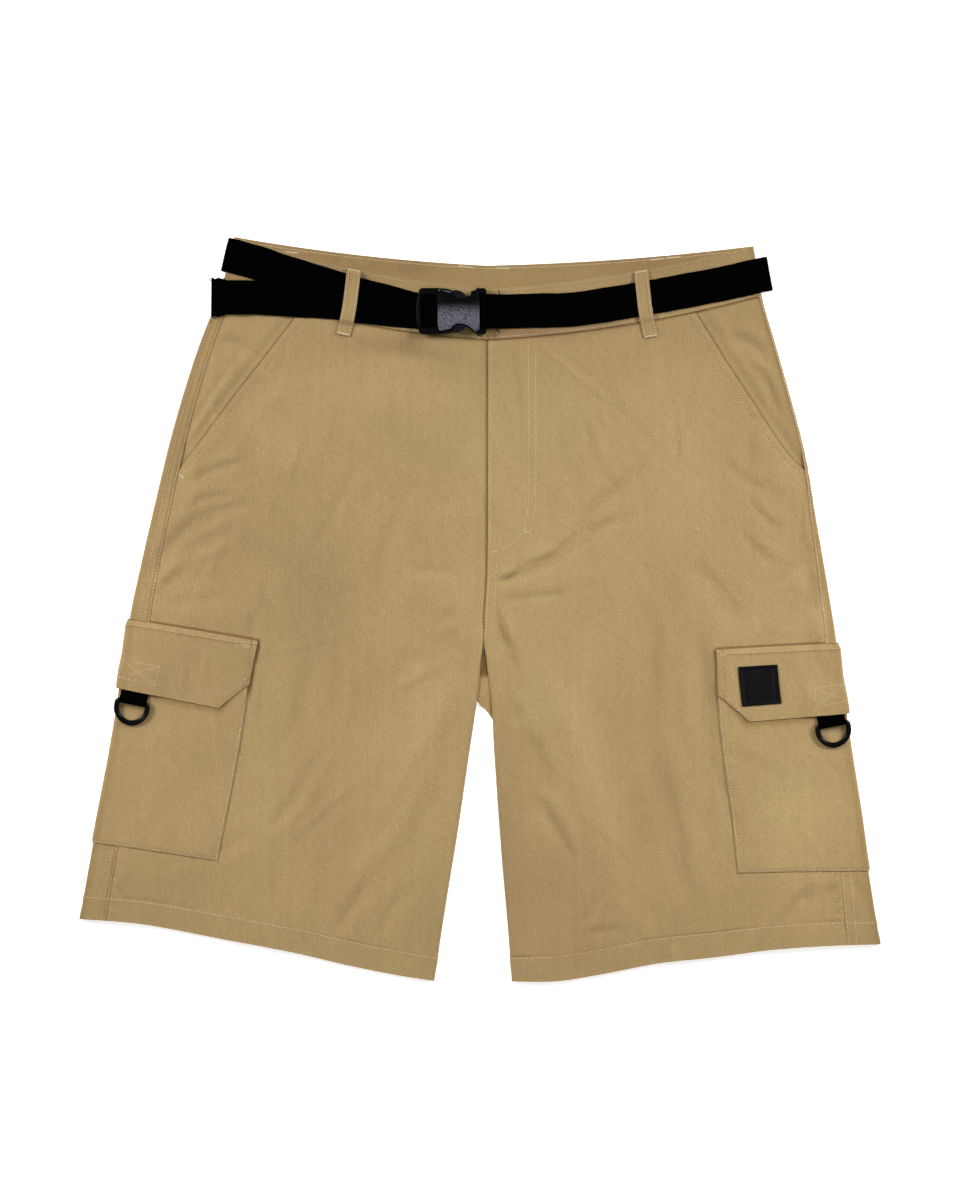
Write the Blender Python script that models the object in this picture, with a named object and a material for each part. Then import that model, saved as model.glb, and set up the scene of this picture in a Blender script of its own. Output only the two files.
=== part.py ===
"""Cargo shorts in cotton twill with a webbing belt, laid flat with the front up.

Metres. +X is the wearer's left, +Y runs up to the waist, +Z is up, and the surface they lie on is z = 0.
Each leg is a flattened tube: a section is measured round from the side fold, forwards over the front
and backwards under the back, and every piece of cloth takes its points from that one skin.
"""
import math

import bmesh
import bpy
from mathutils import Matrix, Vector

MM = 0.001

# Cloth and webbing
PANEL_WALL = 1.25 * MM
BAND_WALL = 2.0 * MM
POCKET_WALL = 1.1 * MM
FLAP_WALL = 1.1 * MM
LOOP_WALL = 1.0 * MM
LOOP_WIDTH = 12.3 * MM
WEBBING_WALL = 1.6 * MM
WEBBING_WIDTH = 30.0 * MM
PATCH_WALL = 1.2 * MM
SEAM_GAP = 0.3 * MM
POCKET_GAP = 0.45 * MM

# The flattened tube
FOLD_RADIUS = 2.4 * MM
FOLD_ARC = FOLD_RADIUS * math.pi / 2
FOLD_SPARE = FOLD_RADIUS * (math.pi / 2 - 1)
MIDDLE_PUFF = 1.0 * MM
BELT_REST = 3.2 * MM
PUFF_ROWS = 1.5
POCKET_REST = POCKET_WALL + POCKET_GAP
FLAP_REST = FLAP_WALL + SEAM_GAP
ROLL_START = {"front": 4.85, "back": 5.5}
ROLL_ROWS = 1.1

# Where the pocket and flap beneath lift the back panel: (start, length of the ramp), in rows and in mm
PACKED_ACROSS = (120, 42)
PACKED_FROM = (4.7, 1.1)
POCKET_FALL = (8.6, 0.55)
FLAP_FALL = (7.5, 0.27)

# Rows of a leg, from the top of the waistband to the hem
TOP, WAIST_SEAM, HIP, SEAT, FLY_END, CROTCH, FLAP_TOP, FLAP_BOTTOM, POCKET_BOTTOM, HEM = range(10)

# Where each row starts on the side fold and ends at the middle, and how far it sags between, in mm:
# (row, side y, front end y, back end y, front sag, back sag)
SECTIONS = {
    "right": [
        (TOP, 325.0, 279.0, 300.0, 6.5, 3.5),
        (WAIST_SEAM, 281.0, 235.0, 256.0, 8.0, 4.5),
        (HIP, 226.5, 183.0, 197.0, 5.5, 2.5),
        (SEAT, 139.0, 100.0, 104.0, 3.0, 2.0),
        (FLY_END, 78.0, 38.5, 16.5, 1.0, 0.0),
        (CROTCH, 27.0, -27.0, -62.0, -0.5, 0.0),
        (FLAP_TOP, -8.5, -65.5, -95.5, -2.5, 0.0),
        (FLAP_BOTTOM, -69.5, -125.0, -132.0, 1.5, 0.0),
        (POCKET_BOTTOM, -204.0, -258.0, -258.0, -3.5, -3.5),
        (HEM, -271.0, -325.0, -325.0, 0.0, 0.0),
    ],
    "left": [
        (TOP, 317.0, 279.0, 300.0, 5.5, 3.0),
        (WAIST_SEAM, 273.5, 235.0, 256.0, 6.5, 3.5),
        (HIP, 224.0, 183.0, 197.0, 5.0, 2.5),
        (SEAT, 139.0, 100.0, 104.0, 3.0, 2.0),
        (FLY_END, 78.0, 38.5, 16.5, 1.0, 0.0),
        (CROTCH, 8.0, -27.0, -62.0, -1.0, 0.0),
        (FLAP_TOP, -29.5, -51.5, -99.0, -2.5, 0.0),
        (FLAP_BOTTOM, -91.5, -116.5, -123.5, 0.0, 0.0),
        (POCKET_BOTTOM, -229.0, -247.5, -247.5, -5.5, -5.5),
        (HEM, -293.0, -325.5, -325.5, 0.0, 0.0),
    ],
}

# How the hem swings above and below its straight line, in mm: (share of the way to the inner leg, up)
HEM_SWING = {
    "right": [(0, 0), (0.1, 3.5), (0.2, 5.4), (0.4, 4.5), (0.6, 3.7), (0.75, 0.8), (0.9, -0.5), (1, 0)],
    "left": [(0, 0), (0.13, 3.1), (0.29, 4.8), (0.45, 3.4), (0.61, 3.0), (0.77, -1.8), (0.88, -3.6), (1, 0)],
}

# Edges of the legs, in mm: (y, x)
SIDE_FOLD = {
    "right": [(325, -214.5), (281, -226), (226.5, -247), (156.5, -268.5), (78, -287.5), (27, -299),
              (-8.5, -306), (-71, -314), (-123, -322.5), (-204, -338), (-271, -350)],
    "left": [(317, 239), (273.5, 246), (224, 260.5), (139, 283.5), (78, 294), (16.5, 304.5),
             (-29.5, 311.5), (-71, 316), (-123, 323.5), (-176, 332), (-229, 339.5), (-293, 350)],
}
FRONT_INNER = {
    "right": [(279, 7), (38.5, 6.6), (-27, 5.7), (-46.5, 2.2), (-65.5, -0.9), (-86.5, -3.5),
              (-125, -9.2), (-193, -19.2), (-258, -29.8), (-325, -40.2)],
    "left": [(279, 7), (38.5, 7), (-27, 8.2), (-51.5, 7.6), (-65.5, 8.3), (-88.5, 10.5),
             (-123.5, 12.3), (-211, 18.4), (-281, 24.5), (-325.5, 28)],
}
BACK_INNER = {
    "right": [(300, 6.1), (43, 6.1), (-62, 5.2), (-83, 3.4), (-95.5, -4.6), (-132, -10.2),
              (-193, -19.2), (-258, -29.8), (-325, -40.2)],
    "left": [(300, 6.1), (43, 6.1), (-62, 5.8), (-84, 5), (-99, 11.2), (-123.5, 12.3),
             (-211, 18.4), (-281, 24.5), (-325.5, 28)],
}

# How far the side seam and the slant pocket's edge lie round from the side fold, in mm: (row, distance)
SIDE_SEAM = {
    "right": [(WAIST_SEAM, 11.5), (SEAT, 15), (CROTCH, 18), (FLAP_TOP, 19.5), (POCKET_BOTTOM, 24), (HEM, 25)],
    "left": [(WAIST_SEAM, 4.2), (SEAT, 4.4), (FLY_END, 6.5), (CROTCH, 9.5), (FLAP_TOP, 11.5),
             (POCKET_BOTTOM, 26), (HEM, 31)],
}
SLANT_EDGE = {
    "right": [(WAIST_SEAM, 68), (1.5, 61), (HIP, 52.5), (2.5, 37.5), (SEAT, 22), (3.2, 15.5)],
    "left": [(WAIST_SEAM, 57.5), (1.5, 48), (HIP, 38), (2.5, 23.5), (SEAT, 9.5), (3.25, 4.6)],
}
SLANT_END = {"right": 3.2, "left": 3.25}
FACING_TUCK = 10.0 * MM
FACING_DROP = PANEL_WALL + SEAM_GAP
FACING_DIP = (13 * MM, 9 * MM)

# The fly: the left front laps over the right front
FLY_LAP = 12.0 * MM
FLY_LAP_END = 4.4
FLY_DIP_END = 5.0
FLY_FADE_ROWS = 0.3
FLY_DIP = (11 * MM, 9 * MM)

# Cargo pockets and flaps, in mm round from the side fold: (row, distance)
POCKET_FRONT_EDGE = {
    "right": [(FLAP_TOP, 111), (POCKET_BOTTOM, 112)],
    "left": [(FLAP_TOP, 106.5), (POCKET_BOTTOM, 116)],
}
FLAP_FRONT_EDGE = {
    "right": [(FLAP_TOP, 115.5), (6.1, 115.5), (FLAP_BOTTOM, 112.5)],
    "left": [(FLAP_TOP, 108), (6.1, 107), (FLAP_BOTTOM, 109.5)],
}
POCKET_BACK_REACH = 73.0 * MM
FLAP_BACK_REACH = 75.0 * MM
POCKET_TOP_ROW = 6.15
FLAP_DIP_ROW = 6.13
CHAMFER_WIDTH = 24.0 * MM
CHAMFER_ROWS = 0.3
FLAP_LIFT = POCKET_GAP + POCKET_WALL + SEAM_GAP
TAB_BUMP = 1.9 * MM
TAB_BUMP_ROWS = (6.55, 0.32)
TAB_BUMP_INWARDS = (43 * MM, 14 * MM)
TAB_BUMP_OUTWARDS = (3.6 * MM, 5 * MM)

# D-rings and their webbing tabs: leg, bar centre and the bar's turn in plan
RING_WIRE = 3.3 * MM
RING_WIDTH = 27.9 * MM
RING_DEPTH = 19.4 * MM
RING_CORNER = 2.6 * MM
RING_BED = (7.05, 32 * MM)
TAB_WALL = 1.0 * MM
TAB_WIDTH = 24.0 * MM
TAB_TUCK = 11.6 * MM
TAB_NECK = 1.2 * MM
RINGS = {
    "right": ((-302.4, -80.5), -11.3),
    "left": ((306.9, -99.8), 10.5),
}

# Belt loops: (name, leg, distance at the top and at the bottom, end row, lift over the belt, belt's rows)
BELT_LOOPS = [
    ("loop_front_right", "right", 109.5, 115.7, 1.22, 4.1, 0.05, 0.98),
    ("loop_front_left", "left", 102.0, 104.4, 1.28, 2.2, 0.17, 0.92),
    ("loop_side_right", "right", -53.0, -53.0, 1.15, 2.2, 0.06, 0.82),
    ("loop_back_right", "right", -205.5, -216.5, 1.15, 2.2, 0.13, 0.89),
    ("loop_back_left", "left", -220.0, -227.0, 1.15, 2.2, 0.13, 0.9),
    ("loop_side_left", "left", -78.5, -84.5, 1.15, 2.2, 0.17, 0.94),
]

# Belt, in mm: (x, y, height of its middle)
FIRST_LAYER = 9.1
SECOND_LAYER = 11.0
UNDER_LAYER = 2.1
STRAP_FROM_BUCKLE = [
    (20.5, 259.5, SECOND_LAYER), (14, 259.5, 11.1), (10.5, 259.5, 12.4), (7.4, 259.5, 14.2),
    (4.2, 259.5, 15.1), (1.7, 259.5, 14.2), (0.85, 259.5, 11.6), (1.5, 259.5, 9.7), (4.0, 259.5, FIRST_LAYER),
    (22, 259.6, FIRST_LAYER), (50, 260.4, FIRST_LAYER), (79, 261.2, FIRST_LAYER), (105, 264.7, FIRST_LAYER),
    (140, 270.4, FIRST_LAYER), (175, 276.8, FIRST_LAYER), (210, 283.5, FIRST_LAYER), (235, 289, FIRST_LAYER),
]
STRAP_BACK = [
    (235, 291, UNDER_LAYER), (200, 288, UNDER_LAYER), (162, 285, UNDER_LAYER), (125, 282, UNDER_LAYER),
    (85, 279.5, UNDER_LAYER), (45, 278, UNDER_LAYER), (5, 278, UNDER_LAYER), (-40, 280, UNDER_LAYER),
    (-80, 283.5, UNDER_LAYER), (-120, 288.5, UNDER_LAYER), (-165, 296, UNDER_LAYER),
    (-200, 303.5, UNDER_LAYER),
]
STRAP_TO_BUCKLE = [
    (-204, 304.7, 9.8), (-193, 301.5, 10.9), (-178, 296, SECOND_LAYER), (-160, 290.5, SECOND_LAYER),
    (-120, 278, SECOND_LAYER), (-100, 272.5, SECOND_LAYER), (-80, 267.5, SECOND_LAYER),
    (-64, 262.6, SECOND_LAYER), (-56, 260.6, SECOND_LAYER), (-52.5, 259.9, SECOND_LAYER),
    (-50.5, 259.6, 11.5), (-48, 259.5, 12.7), (-45.8, 259.5, 13.75), (-41.6, 259.5, 13.75),
    (-39.3, 259.4, 12.7), (-38.5, 259.4, 11.2), (-39.3, 259.4, 9.6), (-41.5, 259.4, FIRST_LAYER),
]
LEFT_TURN = (-218.9, 308.8, 167.0)
RIGHT_TURN = (249.0, 292.2, 10.0)
TAIL = [
    (-234.5, 272, FIRST_LAYER), (-197, 271.7, FIRST_LAYER), (-161, 269.7, FIRST_LAYER),
    (-124, 267.3, FIRST_LAYER), (-107.5, 264.9, FIRST_LAYER), (-78, 261.4, FIRST_LAYER),
    (-58, 259.6, FIRST_LAYER), (-42.2, 259.2, FIRST_LAYER),
]

# Buckle, in mm
BUCKLE_Y = 259.4
BUCKLE_Z = 13.2
FEMALE_HALF_OUTLINE = [
    (-35.8, 17.3), (-27.0, 15.6), (-24.6, 12.4), (-20.5, 9.6), (-16.5, 9.2), (-12.5, 10.6), (-9.0, 14.2),
    (-5.5, 18.2), (-1.0, 20.2), (4.0, 20.2), (5.6, 18.4),
]
FEMALE_THICKNESS = 9.0
FEMALE_CAVITY = (-40.0, -7.0, 4.4)
FEMALE_SLOT = (-0.6, 3.1, 15.6)
REAR_BAR_Z = (10.9, 13.3)
MALE_FRAME_HALF_OUTLINE = [(-54.4, 8.0), (-54.0, 15.0), (-52.5, 19.3), (-50.5, 20.2), (-36.1, 20.2)]
MALE_WINDOW = (-52.0, -37.2, 15.7)
MALE_BAR = (-45.4, -41.8, 19.4)
MALE_BAR_Z = (10.3, 12.5)
MALE_FRAME_Z = (12.5, 15.6)
MALE_PRONG_OUTLINE = [
    (-37.0, 7.4), (-27.5, 8.2), (-20.0, 8.0), (-12.5, 9.0), (-12.0, 12.2), (-15.5, 16.8), (-21.5, 18.4),
    (-24.6, 17.0), (-25.6, 13.2), (-37.0, 12.6),
]
MALE_TONGUE = (-37.0, -11.0, 3.0)
MALE_PRONG_THICKNESS = 3.6
JOIN_DEPTH = 0.4
CUT_MARGIN = 2
CUT_BEHIND = 12
CUT_HALF_WIDTH = 25

# Leather patch: its leg, and its corners as (row, distance round from the side fold)
PATCH_LEG = "left"
PATCH_FROM = (FLAP_TOP + 0.33, 89.7)
PATCH_TO = (FLAP_TOP + 0.85, 55.7)

# Stations of the meshes along a leg
PANEL_ROWS = [1, 1.33, 1.67, 2, 2.33, 2.67, 3, 3.2, 3.5, 3.75, 4, 4.3, 4.6, 5, 5.33, 5.67, 6, 6.33, 6.67,
              7, 7.2, 7.45, 7.72, 8, 8.33, 8.6, 9]
FOOT_OF_SLOPE = (78.0, 94.0)
BACK_SLOPE = (41.0, 78.0, 94.0, 108.0, 122.0)
BESIDE_POCKET = 14.0 * MM
BEFORE_ROLL = 13.0 * MM
NEAR_COLUMNS = 3
FRONT_COLUMNS = 5
BACK_COLUMNS = 5
BAND_COLUMNS = 10
BAND_ROWS = (0, 0.5, 1)
BAND_END = 0.994
PANEL_START = 1.003
FACING_SHARES = (0, 0.2, 0.4, 0.6, 0.8, 1)
FLAP_SHARES = (0, FLAP_DIP_ROW - FLAP_TOP, 0.33, 0.55, 0.72, 0.87, 1)
EDGE_CLEARANCE = 3.0 * MM
LOOP_TOP_ROW = 0.01
LOOP_RISE_ROWS = 0.04
LOOP_FALL_ROWS = 0.12
TURN_STEPS = 6

CLOTH = ("cotton twill, khaki", (0.40, 0.29, 0.14), 0.9, 0.0)
WEBBING = ("webbing, black", (0.004, 0.004, 0.004), 0.85, 0.0)
PLASTIC = ("moulded plastic, dark grey", (0.06, 0.06, 0.075), 0.45, 0.0)
COATED_METAL = ("coated steel, black", (0.008, 0.008, 0.01), 0.3, 0.6)
LEATHER = ("leather, black", (0.01, 0.01, 0.013), 0.6, 0.0)


def clear_scene():
    """Start from an empty scene."""
    for item in list(bpy.data.objects):
        bpy.data.objects.remove(item, do_unlink=True)


def material(name, colour, roughness, metallic):
    """A Principled material, made once and then shared."""
    found = bpy.data.materials.get(name)
    if found:
        return found
    made = bpy.data.materials.new(name)
    made.use_nodes = True
    shader = made.node_tree.nodes["Principled BSDF"]
    shader.inputs["Base Color"].default_value = (*colour, 1)
    shader.inputs["Roughness"].default_value = roughness
    shader.inputs["Metallic"].default_value = metallic
    return made


def smooth_step(value):
    """0 below 0, 1 above 1, and a soft rise between."""
    value = min(max(value, 0.0), 1.0)
    return value * value * (3 - 2 * value)


def ramp(value):
    """A plain ramp from 0 to 1."""
    return min(max(value, 0.0), 1.0)


def through(rows, at):
    """The second column at a value of the first, on a smooth curve through the rows."""
    rows = sorted(rows)
    if at <= rows[0][0]:
        lower = 0
    elif at >= rows[-1][0]:
        lower = len(rows) - 2
    else:
        lower = max(index for index, row in enumerate(rows) if row[0] <= at)
        lower = min(lower, len(rows) - 2)

    def slope(index):
        before = max(index - 1, 0)
        after = min(index + 1, len(rows) - 1)
        return (rows[after][1] - rows[before][1]) / (rows[after][0] - rows[before][0])

    (start, low), (end, high) = rows[lower], rows[lower + 1]
    span = end - start
    share = (at - start) / span
    if share < 0 or share > 1:
        edge = slope(lower) if share < 0 else slope(lower + 1)
        return low + edge * (at - start) if share < 0 else high + edge * (at - end)
    curve = (2 * share**3 - 3 * share**2 + 1) * low + (3 * share**2 - 2 * share**3) * high
    turn = (share**3 - 2 * share**2 + share) * slope(lower) + (share**3 - share**2) * slope(lower + 1)
    return curve + turn * span


def column(leg, number, row):
    """One column of a leg's section table at a row between its rows."""
    return through([(line[0], line[number]) for line in SECTIONS[leg]], row)


SECTION_MEMORY = {}


def section(leg, front, row):
    """The plan ends of a row, and its sag: side fold, middle and sag, in metres."""
    key = (leg, front, round(row, 6))
    if key not in SECTION_MEMORY:
        side_y = column(leg, 1, row)
        inner_y = column(leg, 2 if front else 3, row)
        inner = FRONT_INNER if front else BACK_INNER
        side = Vector((through(SIDE_FOLD[leg], side_y), side_y)) * MM
        middle = Vector((through(inner[leg], inner_y), inner_y)) * MM
        SECTION_MEMORY[key] = (side, middle, column(leg, 4 if front else 5, row) * MM)
    return SECTION_MEMORY[key]


def inner_roll(front, row):
    """How far a row's middle end is rolled over: 0 along the centre seams, 1 down the inner leg."""
    start = ROLL_START["front" if front else "back"]
    return smooth_step((row - start) / ROLL_ROWS)


def length_round(leg, front, row):
    """Length of a row round from the side fold to its middle end."""
    side, middle, _ = section(leg, front, row)
    return (middle - side).length + FOLD_SPARE * (1 + inner_roll(front, row))


def underside(across, row):
    """How high the belt, the pocket and the flap beneath hold the back panel up."""
    waist = BELT_REST * smooth_step(HIP - row)
    near_side = smooth_step((PACKED_ACROSS[0] * MM - across) / (PACKED_ACROSS[1] * MM))
    rise = smooth_step((row - PACKED_FROM[0]) / PACKED_FROM[1])
    pocket = POCKET_REST * smooth_step((POCKET_FALL[0] - row) / POCKET_FALL[1])
    flap = FLAP_REST * smooth_step((FLAP_FALL[0] - row) / FLAP_FALL[1])
    return waist + (pocket + flap) * near_side * rise


def skin_point(leg, row, round_distance):
    """A point of the outer skin; the distance is positive over the front and negative under the back."""
    front = round_distance >= 0
    side, middle, sag = section(leg, front, row)
    width = (middle - side).length
    roll = inner_roll(front, row)
    inner_radius = FOLD_RADIUS * roll
    from_side = abs(round_distance)
    from_middle = length_round(leg, front, row) - from_side
    height = 1.0
    if from_side < FOLD_ARC:
        across = FOLD_RADIUS * (1 - math.cos(from_side / FOLD_RADIUS))
        height = math.sin(from_side / FOLD_RADIUS)
    elif inner_radius > 1e-6 and from_middle < inner_radius * math.pi / 2:
        across = width - inner_radius * (1 - math.cos(from_middle / inner_radius))
        height = 1 - roll * (1 - math.sin(from_middle / inner_radius))
    else:
        across = from_side - FOLD_SPARE
    share = across / width
    plan = side + (middle - side) * share
    belly = max(4 * share * (1 - share), 0)
    plan.y -= sag * belly
    plan.y += through(HEM_SWING[leg], share) * MM * smooth_step(row - POCKET_BOTTOM)
    thickness = 2 * FOLD_RADIUS + MIDDLE_PUFF * belly * smooth_step((row - WAIST_SEAM) / PUFF_ROWS)
    side_of = 1 if front else -1
    up = underside(across, row) + thickness / 2 * (1 + side_of * height)
    return Vector((plan.x, plan.y, up))


def skin(leg, row, round_distance, lift=0.0):
    """The skin moved out along its own normal."""
    step = 0.2 * MM
    row_step = 0.004
    along = skin_point(leg, row, round_distance + step) - skin_point(leg, row, round_distance - step)
    down = skin_point(leg, row + row_step, round_distance) - skin_point(leg, row - row_step, round_distance)
    normal = down.cross(along).normalized()
    if leg == "left":
        normal.negate()
    return skin_point(leg, row, round_distance) + normal * lift


def finish(name, bm, look):
    """Turn a finished mesh into a named object with its material."""
    bmesh.ops.recalc_face_normals(bm, faces=bm.faces)
    if bm.calc_volume(signed=True) < 0:
        bmesh.ops.reverse_faces(bm, faces=bm.faces)
    mesh = bpy.data.meshes.new(name)
    bm.to_mesh(mesh)
    bm.free()
    mesh.shade_smooth()
    mesh.set_sharp_from_angle(angle=math.radians(40))
    made = bpy.data.objects.new(name, mesh)
    mesh.materials.append(material(*look))
    bpy.context.scene.collection.objects.link(made)
    return made


def sheet(name, columns, rows, place, look):
    """A closed wall from a grid: place(column, row, outer) gives a point of its outer or inner face."""
    bm = bmesh.new()
    bmesh.ops.create_grid(bm, x_segments=len(columns) - 1, y_segments=len(rows) - 1, size=1)
    copied = bmesh.ops.extrude_face_region(bm, geom=bm.faces[:], use_keep_orig=True)
    inner = {item for item in copied["geom"] if isinstance(item, bmesh.types.BMVert)}
    for vert in bm.verts:
        column_number = round((vert.co.x + 1) / 2 * (len(columns) - 1))
        row_number = round((vert.co.y + 1) / 2 * (len(rows) - 1))
        vert.co = place(columns[column_number], rows[row_number], vert not in inner)
    return finish(name, bm, look)


def seam_at(leg, row):
    """Distance of the side seam round from the side fold."""
    return through(SIDE_SEAM[leg], row) * MM


def front_start(leg, row):
    """Where a front panel starts: on the slant pocket's edge, or below it on the side seam."""
    if row < SLANT_END[leg]:
        return max(through(SLANT_EDGE[leg], row) * MM, seam_at(leg, row) + SEAM_GAP / 2)
    return seam_at(leg, row) + SEAM_GAP / 2


def front_stations(leg, row):
    """Distances of a front panel's mesh columns round from the side fold."""
    start = front_start(leg, row)
    end = length_round(leg, True, row)
    slope = [distance * MM for distance in FOOT_OF_SLOPE]
    pocket_edge = through(POCKET_FRONT_EDGE[leg], max(row, FLAP_TOP)) * MM
    beside = pocket_edge + BESIDE_POCKET
    before_roll = end - BEFORE_ROLL
    near = [start + (slope[0] - start) * k / NEAR_COLUMNS for k in range(NEAR_COLUMNS)]
    near += slope + [pocket_edge]
    spread = [beside + (before_roll - beside) * k / FRONT_COLUMNS for k in range(FRONT_COLUMNS + 1)]
    return near + spread + [end - FOLD_ARC, end - FOLD_ARC / 2, end - SEAM_GAP / 2]


def back_stations(leg, row):
    """Distances of a back panel's mesh columns, from the side seam over the fold to the middle."""
    start = seam_at(leg, row) - SEAM_GAP / 2
    end = -length_round(leg, False, row)
    rolled = end + FOLD_ARC
    fold = [start, FOLD_ARC, FOLD_ARC / 2, 0, -FOLD_ARC / 2, -FOLD_ARC]
    slope = [-distance * MM for distance in BACK_SLOPE]
    spread = [slope[-1] + (rolled - slope[-1]) * (k / BACK_COLUMNS) for k in range(1, BACK_COLUMNS + 1)]
    return fold + slope + spread + [end + FOLD_ARC / 2, end + SEAM_GAP / 2]


def seam_row(row):
    """Keep a panel's first row clear of the waistband."""
    return max(row, PANEL_START)


def fly_lap(row):
    """How far the right front runs on under the left front."""
    return FLY_LAP * smooth_step((FLY_LAP_END - row) / FLY_FADE_ROWS)


def fly_dip(row):
    """How far the right front lies below the left one where they lap."""
    return (PANEL_WALL + SEAM_GAP) * smooth_step((FLY_DIP_END - row) / FLY_FADE_ROWS)


def front_panel(leg):
    """A front from the slant pocket and the side seam to the fly and the inner leg."""
    stations = {row: front_stations(leg, seam_row(row)) for row in PANEL_ROWS}
    if leg == "right":
        for row, line in stations.items():
            edge = line.pop() + fly_lap(row)
            line += [edge - max(fly_lap(row), 1 * MM), edge]

    def place(number, row, outer):
        distance = stations[row][number]
        lift = 0 if outer else -PANEL_WALL
        if leg == "right":
            from_middle = length_round(leg, True, row) - distance
            lift -= fly_dip(row) * smooth_step((FLY_DIP[0] - from_middle) / FLY_DIP[1])
        return skin(leg, seam_row(row), distance, lift)

    return sheet("front_" + leg, list(range(len(stations[HEM]))), PANEL_ROWS, place, CLOTH)


def back_panel(leg):
    """A back from the side seam, round the side fold, to the centre seam and the inner leg."""
    stations = {row: back_stations(leg, seam_row(row)) for row in PANEL_ROWS}

    def place(number, row, outer):
        return skin(leg, seam_row(row), stations[row][number], 0 if outer else -PANEL_WALL)

    return sheet("back_" + leg, list(range(len(stations[HEM]))), PANEL_ROWS, place, CLOTH)


def pocket_facing(leg):
    """The cloth that shows in the slant opening, tucked under the front panel's edge."""
    rows = [row for row in PANEL_ROWS if row < SLANT_END[leg]] + [SLANT_END[leg] - 0.03]

    def place(share, row, outer):
        at_row = seam_row(row)
        slant = front_start(leg, at_row)
        start = seam_at(leg, at_row) + SEAM_GAP / 2
        distance = start + (slant + FACING_TUCK - start) * share
        drop = FACING_DROP * smooth_step((distance - slant + FACING_DIP[0]) / FACING_DIP[1])
        return skin(leg, at_row, distance, -drop - (0 if outer else POCKET_WALL))

    return sheet("pocket_facing_" + leg, FACING_SHARES, rows, place, CLOTH)


def waistband_front(leg):
    """Half of the front waistband, from under the side fold to the centre front."""
    fold = [-FOLD_ARC, -FOLD_ARC / 2, 0, FOLD_ARC / 2]
    stations = {}
    for row in BAND_ROWS:
        length = length_round(leg, True, row) - SEAM_GAP / 2 - FOLD_ARC
        stations[row] = fold + [FOLD_ARC + length * k / BAND_COLUMNS for k in range(BAND_COLUMNS + 1)]

    def place(number, row, outer):
        return skin(leg, min(row, BAND_END), stations[row][number], 0 if outer else -BAND_WALL)

    return sheet("waistband_front_" + leg, list(range(len(stations[0]))), BAND_ROWS, place, CLOTH)


def waistband_back():
    """The back waistband, one length from side to side."""
    shares = [k / BAND_COLUMNS for k in range(BAND_COLUMNS + 1)]
    halves = [("right", share) for share in shares] + [("left", share) for share in shares[-2::-1]]

    def place(station, row, outer):
        leg, share = station
        at_row = min(row, BAND_END)
        start = FOLD_ARC + SEAM_GAP
        distance = -start - (length_round(leg, False, at_row) - start) * share
        return skin(leg, at_row, distance, 0 if outer else -BAND_WALL)

    return sheet("waistband_back", halves, BAND_ROWS, place, CLOTH)


def wrapped_stations(leg, row, front_edge, back_reach):
    """Columns of a piece wrapped round the side: those of the panels it lies on, cut at its own edges."""
    on_front = [station for station in front_stations(leg, row) if station < front_edge - EDGE_CLEARANCE]
    on_back = [station for station in back_stations(leg, row) if station > EDGE_CLEARANCE - back_reach]
    return [front_edge] + on_front[::-1] + on_back + [-back_reach]


def even_out(stations):
    """The same number of columns in every row: rows with more lose those next to their front edge."""
    count = min(len(line) for line in stations.values())
    return {row: line[:1] + line[1 + len(line) - count:] for row, line in stations.items()}


def cargo_pocket(leg):
    """A patch pocket over the side seam, wrapped round the side fold."""
    rows = [POCKET_TOP_ROW] + [row for row in PANEL_ROWS if POCKET_TOP_ROW < row <= POCKET_BOTTOM]
    stations = {}
    for row in rows:
        front_edge = through(POCKET_FRONT_EDGE[leg], row) * MM
        stations[row] = wrapped_stations(leg, row, front_edge, POCKET_BACK_REACH)
    stations = even_out(stations)

    def place(number, row, outer):
        return skin(leg, row, stations[row][number], POCKET_GAP + (POCKET_WALL if outer else 0))

    return sheet("cargo_pocket_" + leg, list(range(len(stations[POCKET_BOTTOM]))), rows, place, CLOTH)


def flap_lift(row, distance):
    """Height of a flap's inner face over the panel: low at its sewn top, over pocket and tab below."""
    over_pocket = smooth_step((row - FLAP_TOP) / (FLAP_DIP_ROW - FLAP_TOP))
    over_tab = smooth_step((row - TAB_BUMP_ROWS[0]) / TAB_BUMP_ROWS[1])
    inwards = smooth_step((TAB_BUMP_INWARDS[0] - distance) / TAB_BUMP_INWARDS[1])
    outwards = smooth_step((distance + TAB_BUMP_OUTWARDS[0]) / TAB_BUMP_OUTWARDS[1])
    return POCKET_GAP + (FLAP_LIFT - POCKET_GAP) * over_pocket + TAB_BUMP * over_tab * inwards * outwards


def cargo_flap(leg):
    """A flap with cut corners, sewn over the pocket and wrapped round the side fold."""
    stations = {}
    for share in FLAP_SHARES:
        row = FLAP_TOP + share
        stations[share] = wrapped_stations(leg, row, through(FLAP_FRONT_EDGE[leg], row) * MM, FLAP_BACK_REACH)
    stations = even_out(stations)

    def place(number, share, outer):
        line = stations[share]
        distance = line[number]
        front_cut = ramp((distance - line[0] + CHAMFER_WIDTH) / CHAMFER_WIDTH)
        back_cut = ramp((line[-1] + CHAMFER_WIDTH - distance) / CHAMFER_WIDTH)
        row = FLAP_TOP + share * (1 - CHAMFER_ROWS * max(front_cut, back_cut))
        return skin(leg, row, distance, flap_lift(row, distance) + (FLAP_WALL if outer else 0))

    return sheet("cargo_flap_" + leg, list(range(len(stations[0]))), FLAP_SHARES, place, CLOTH)


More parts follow.
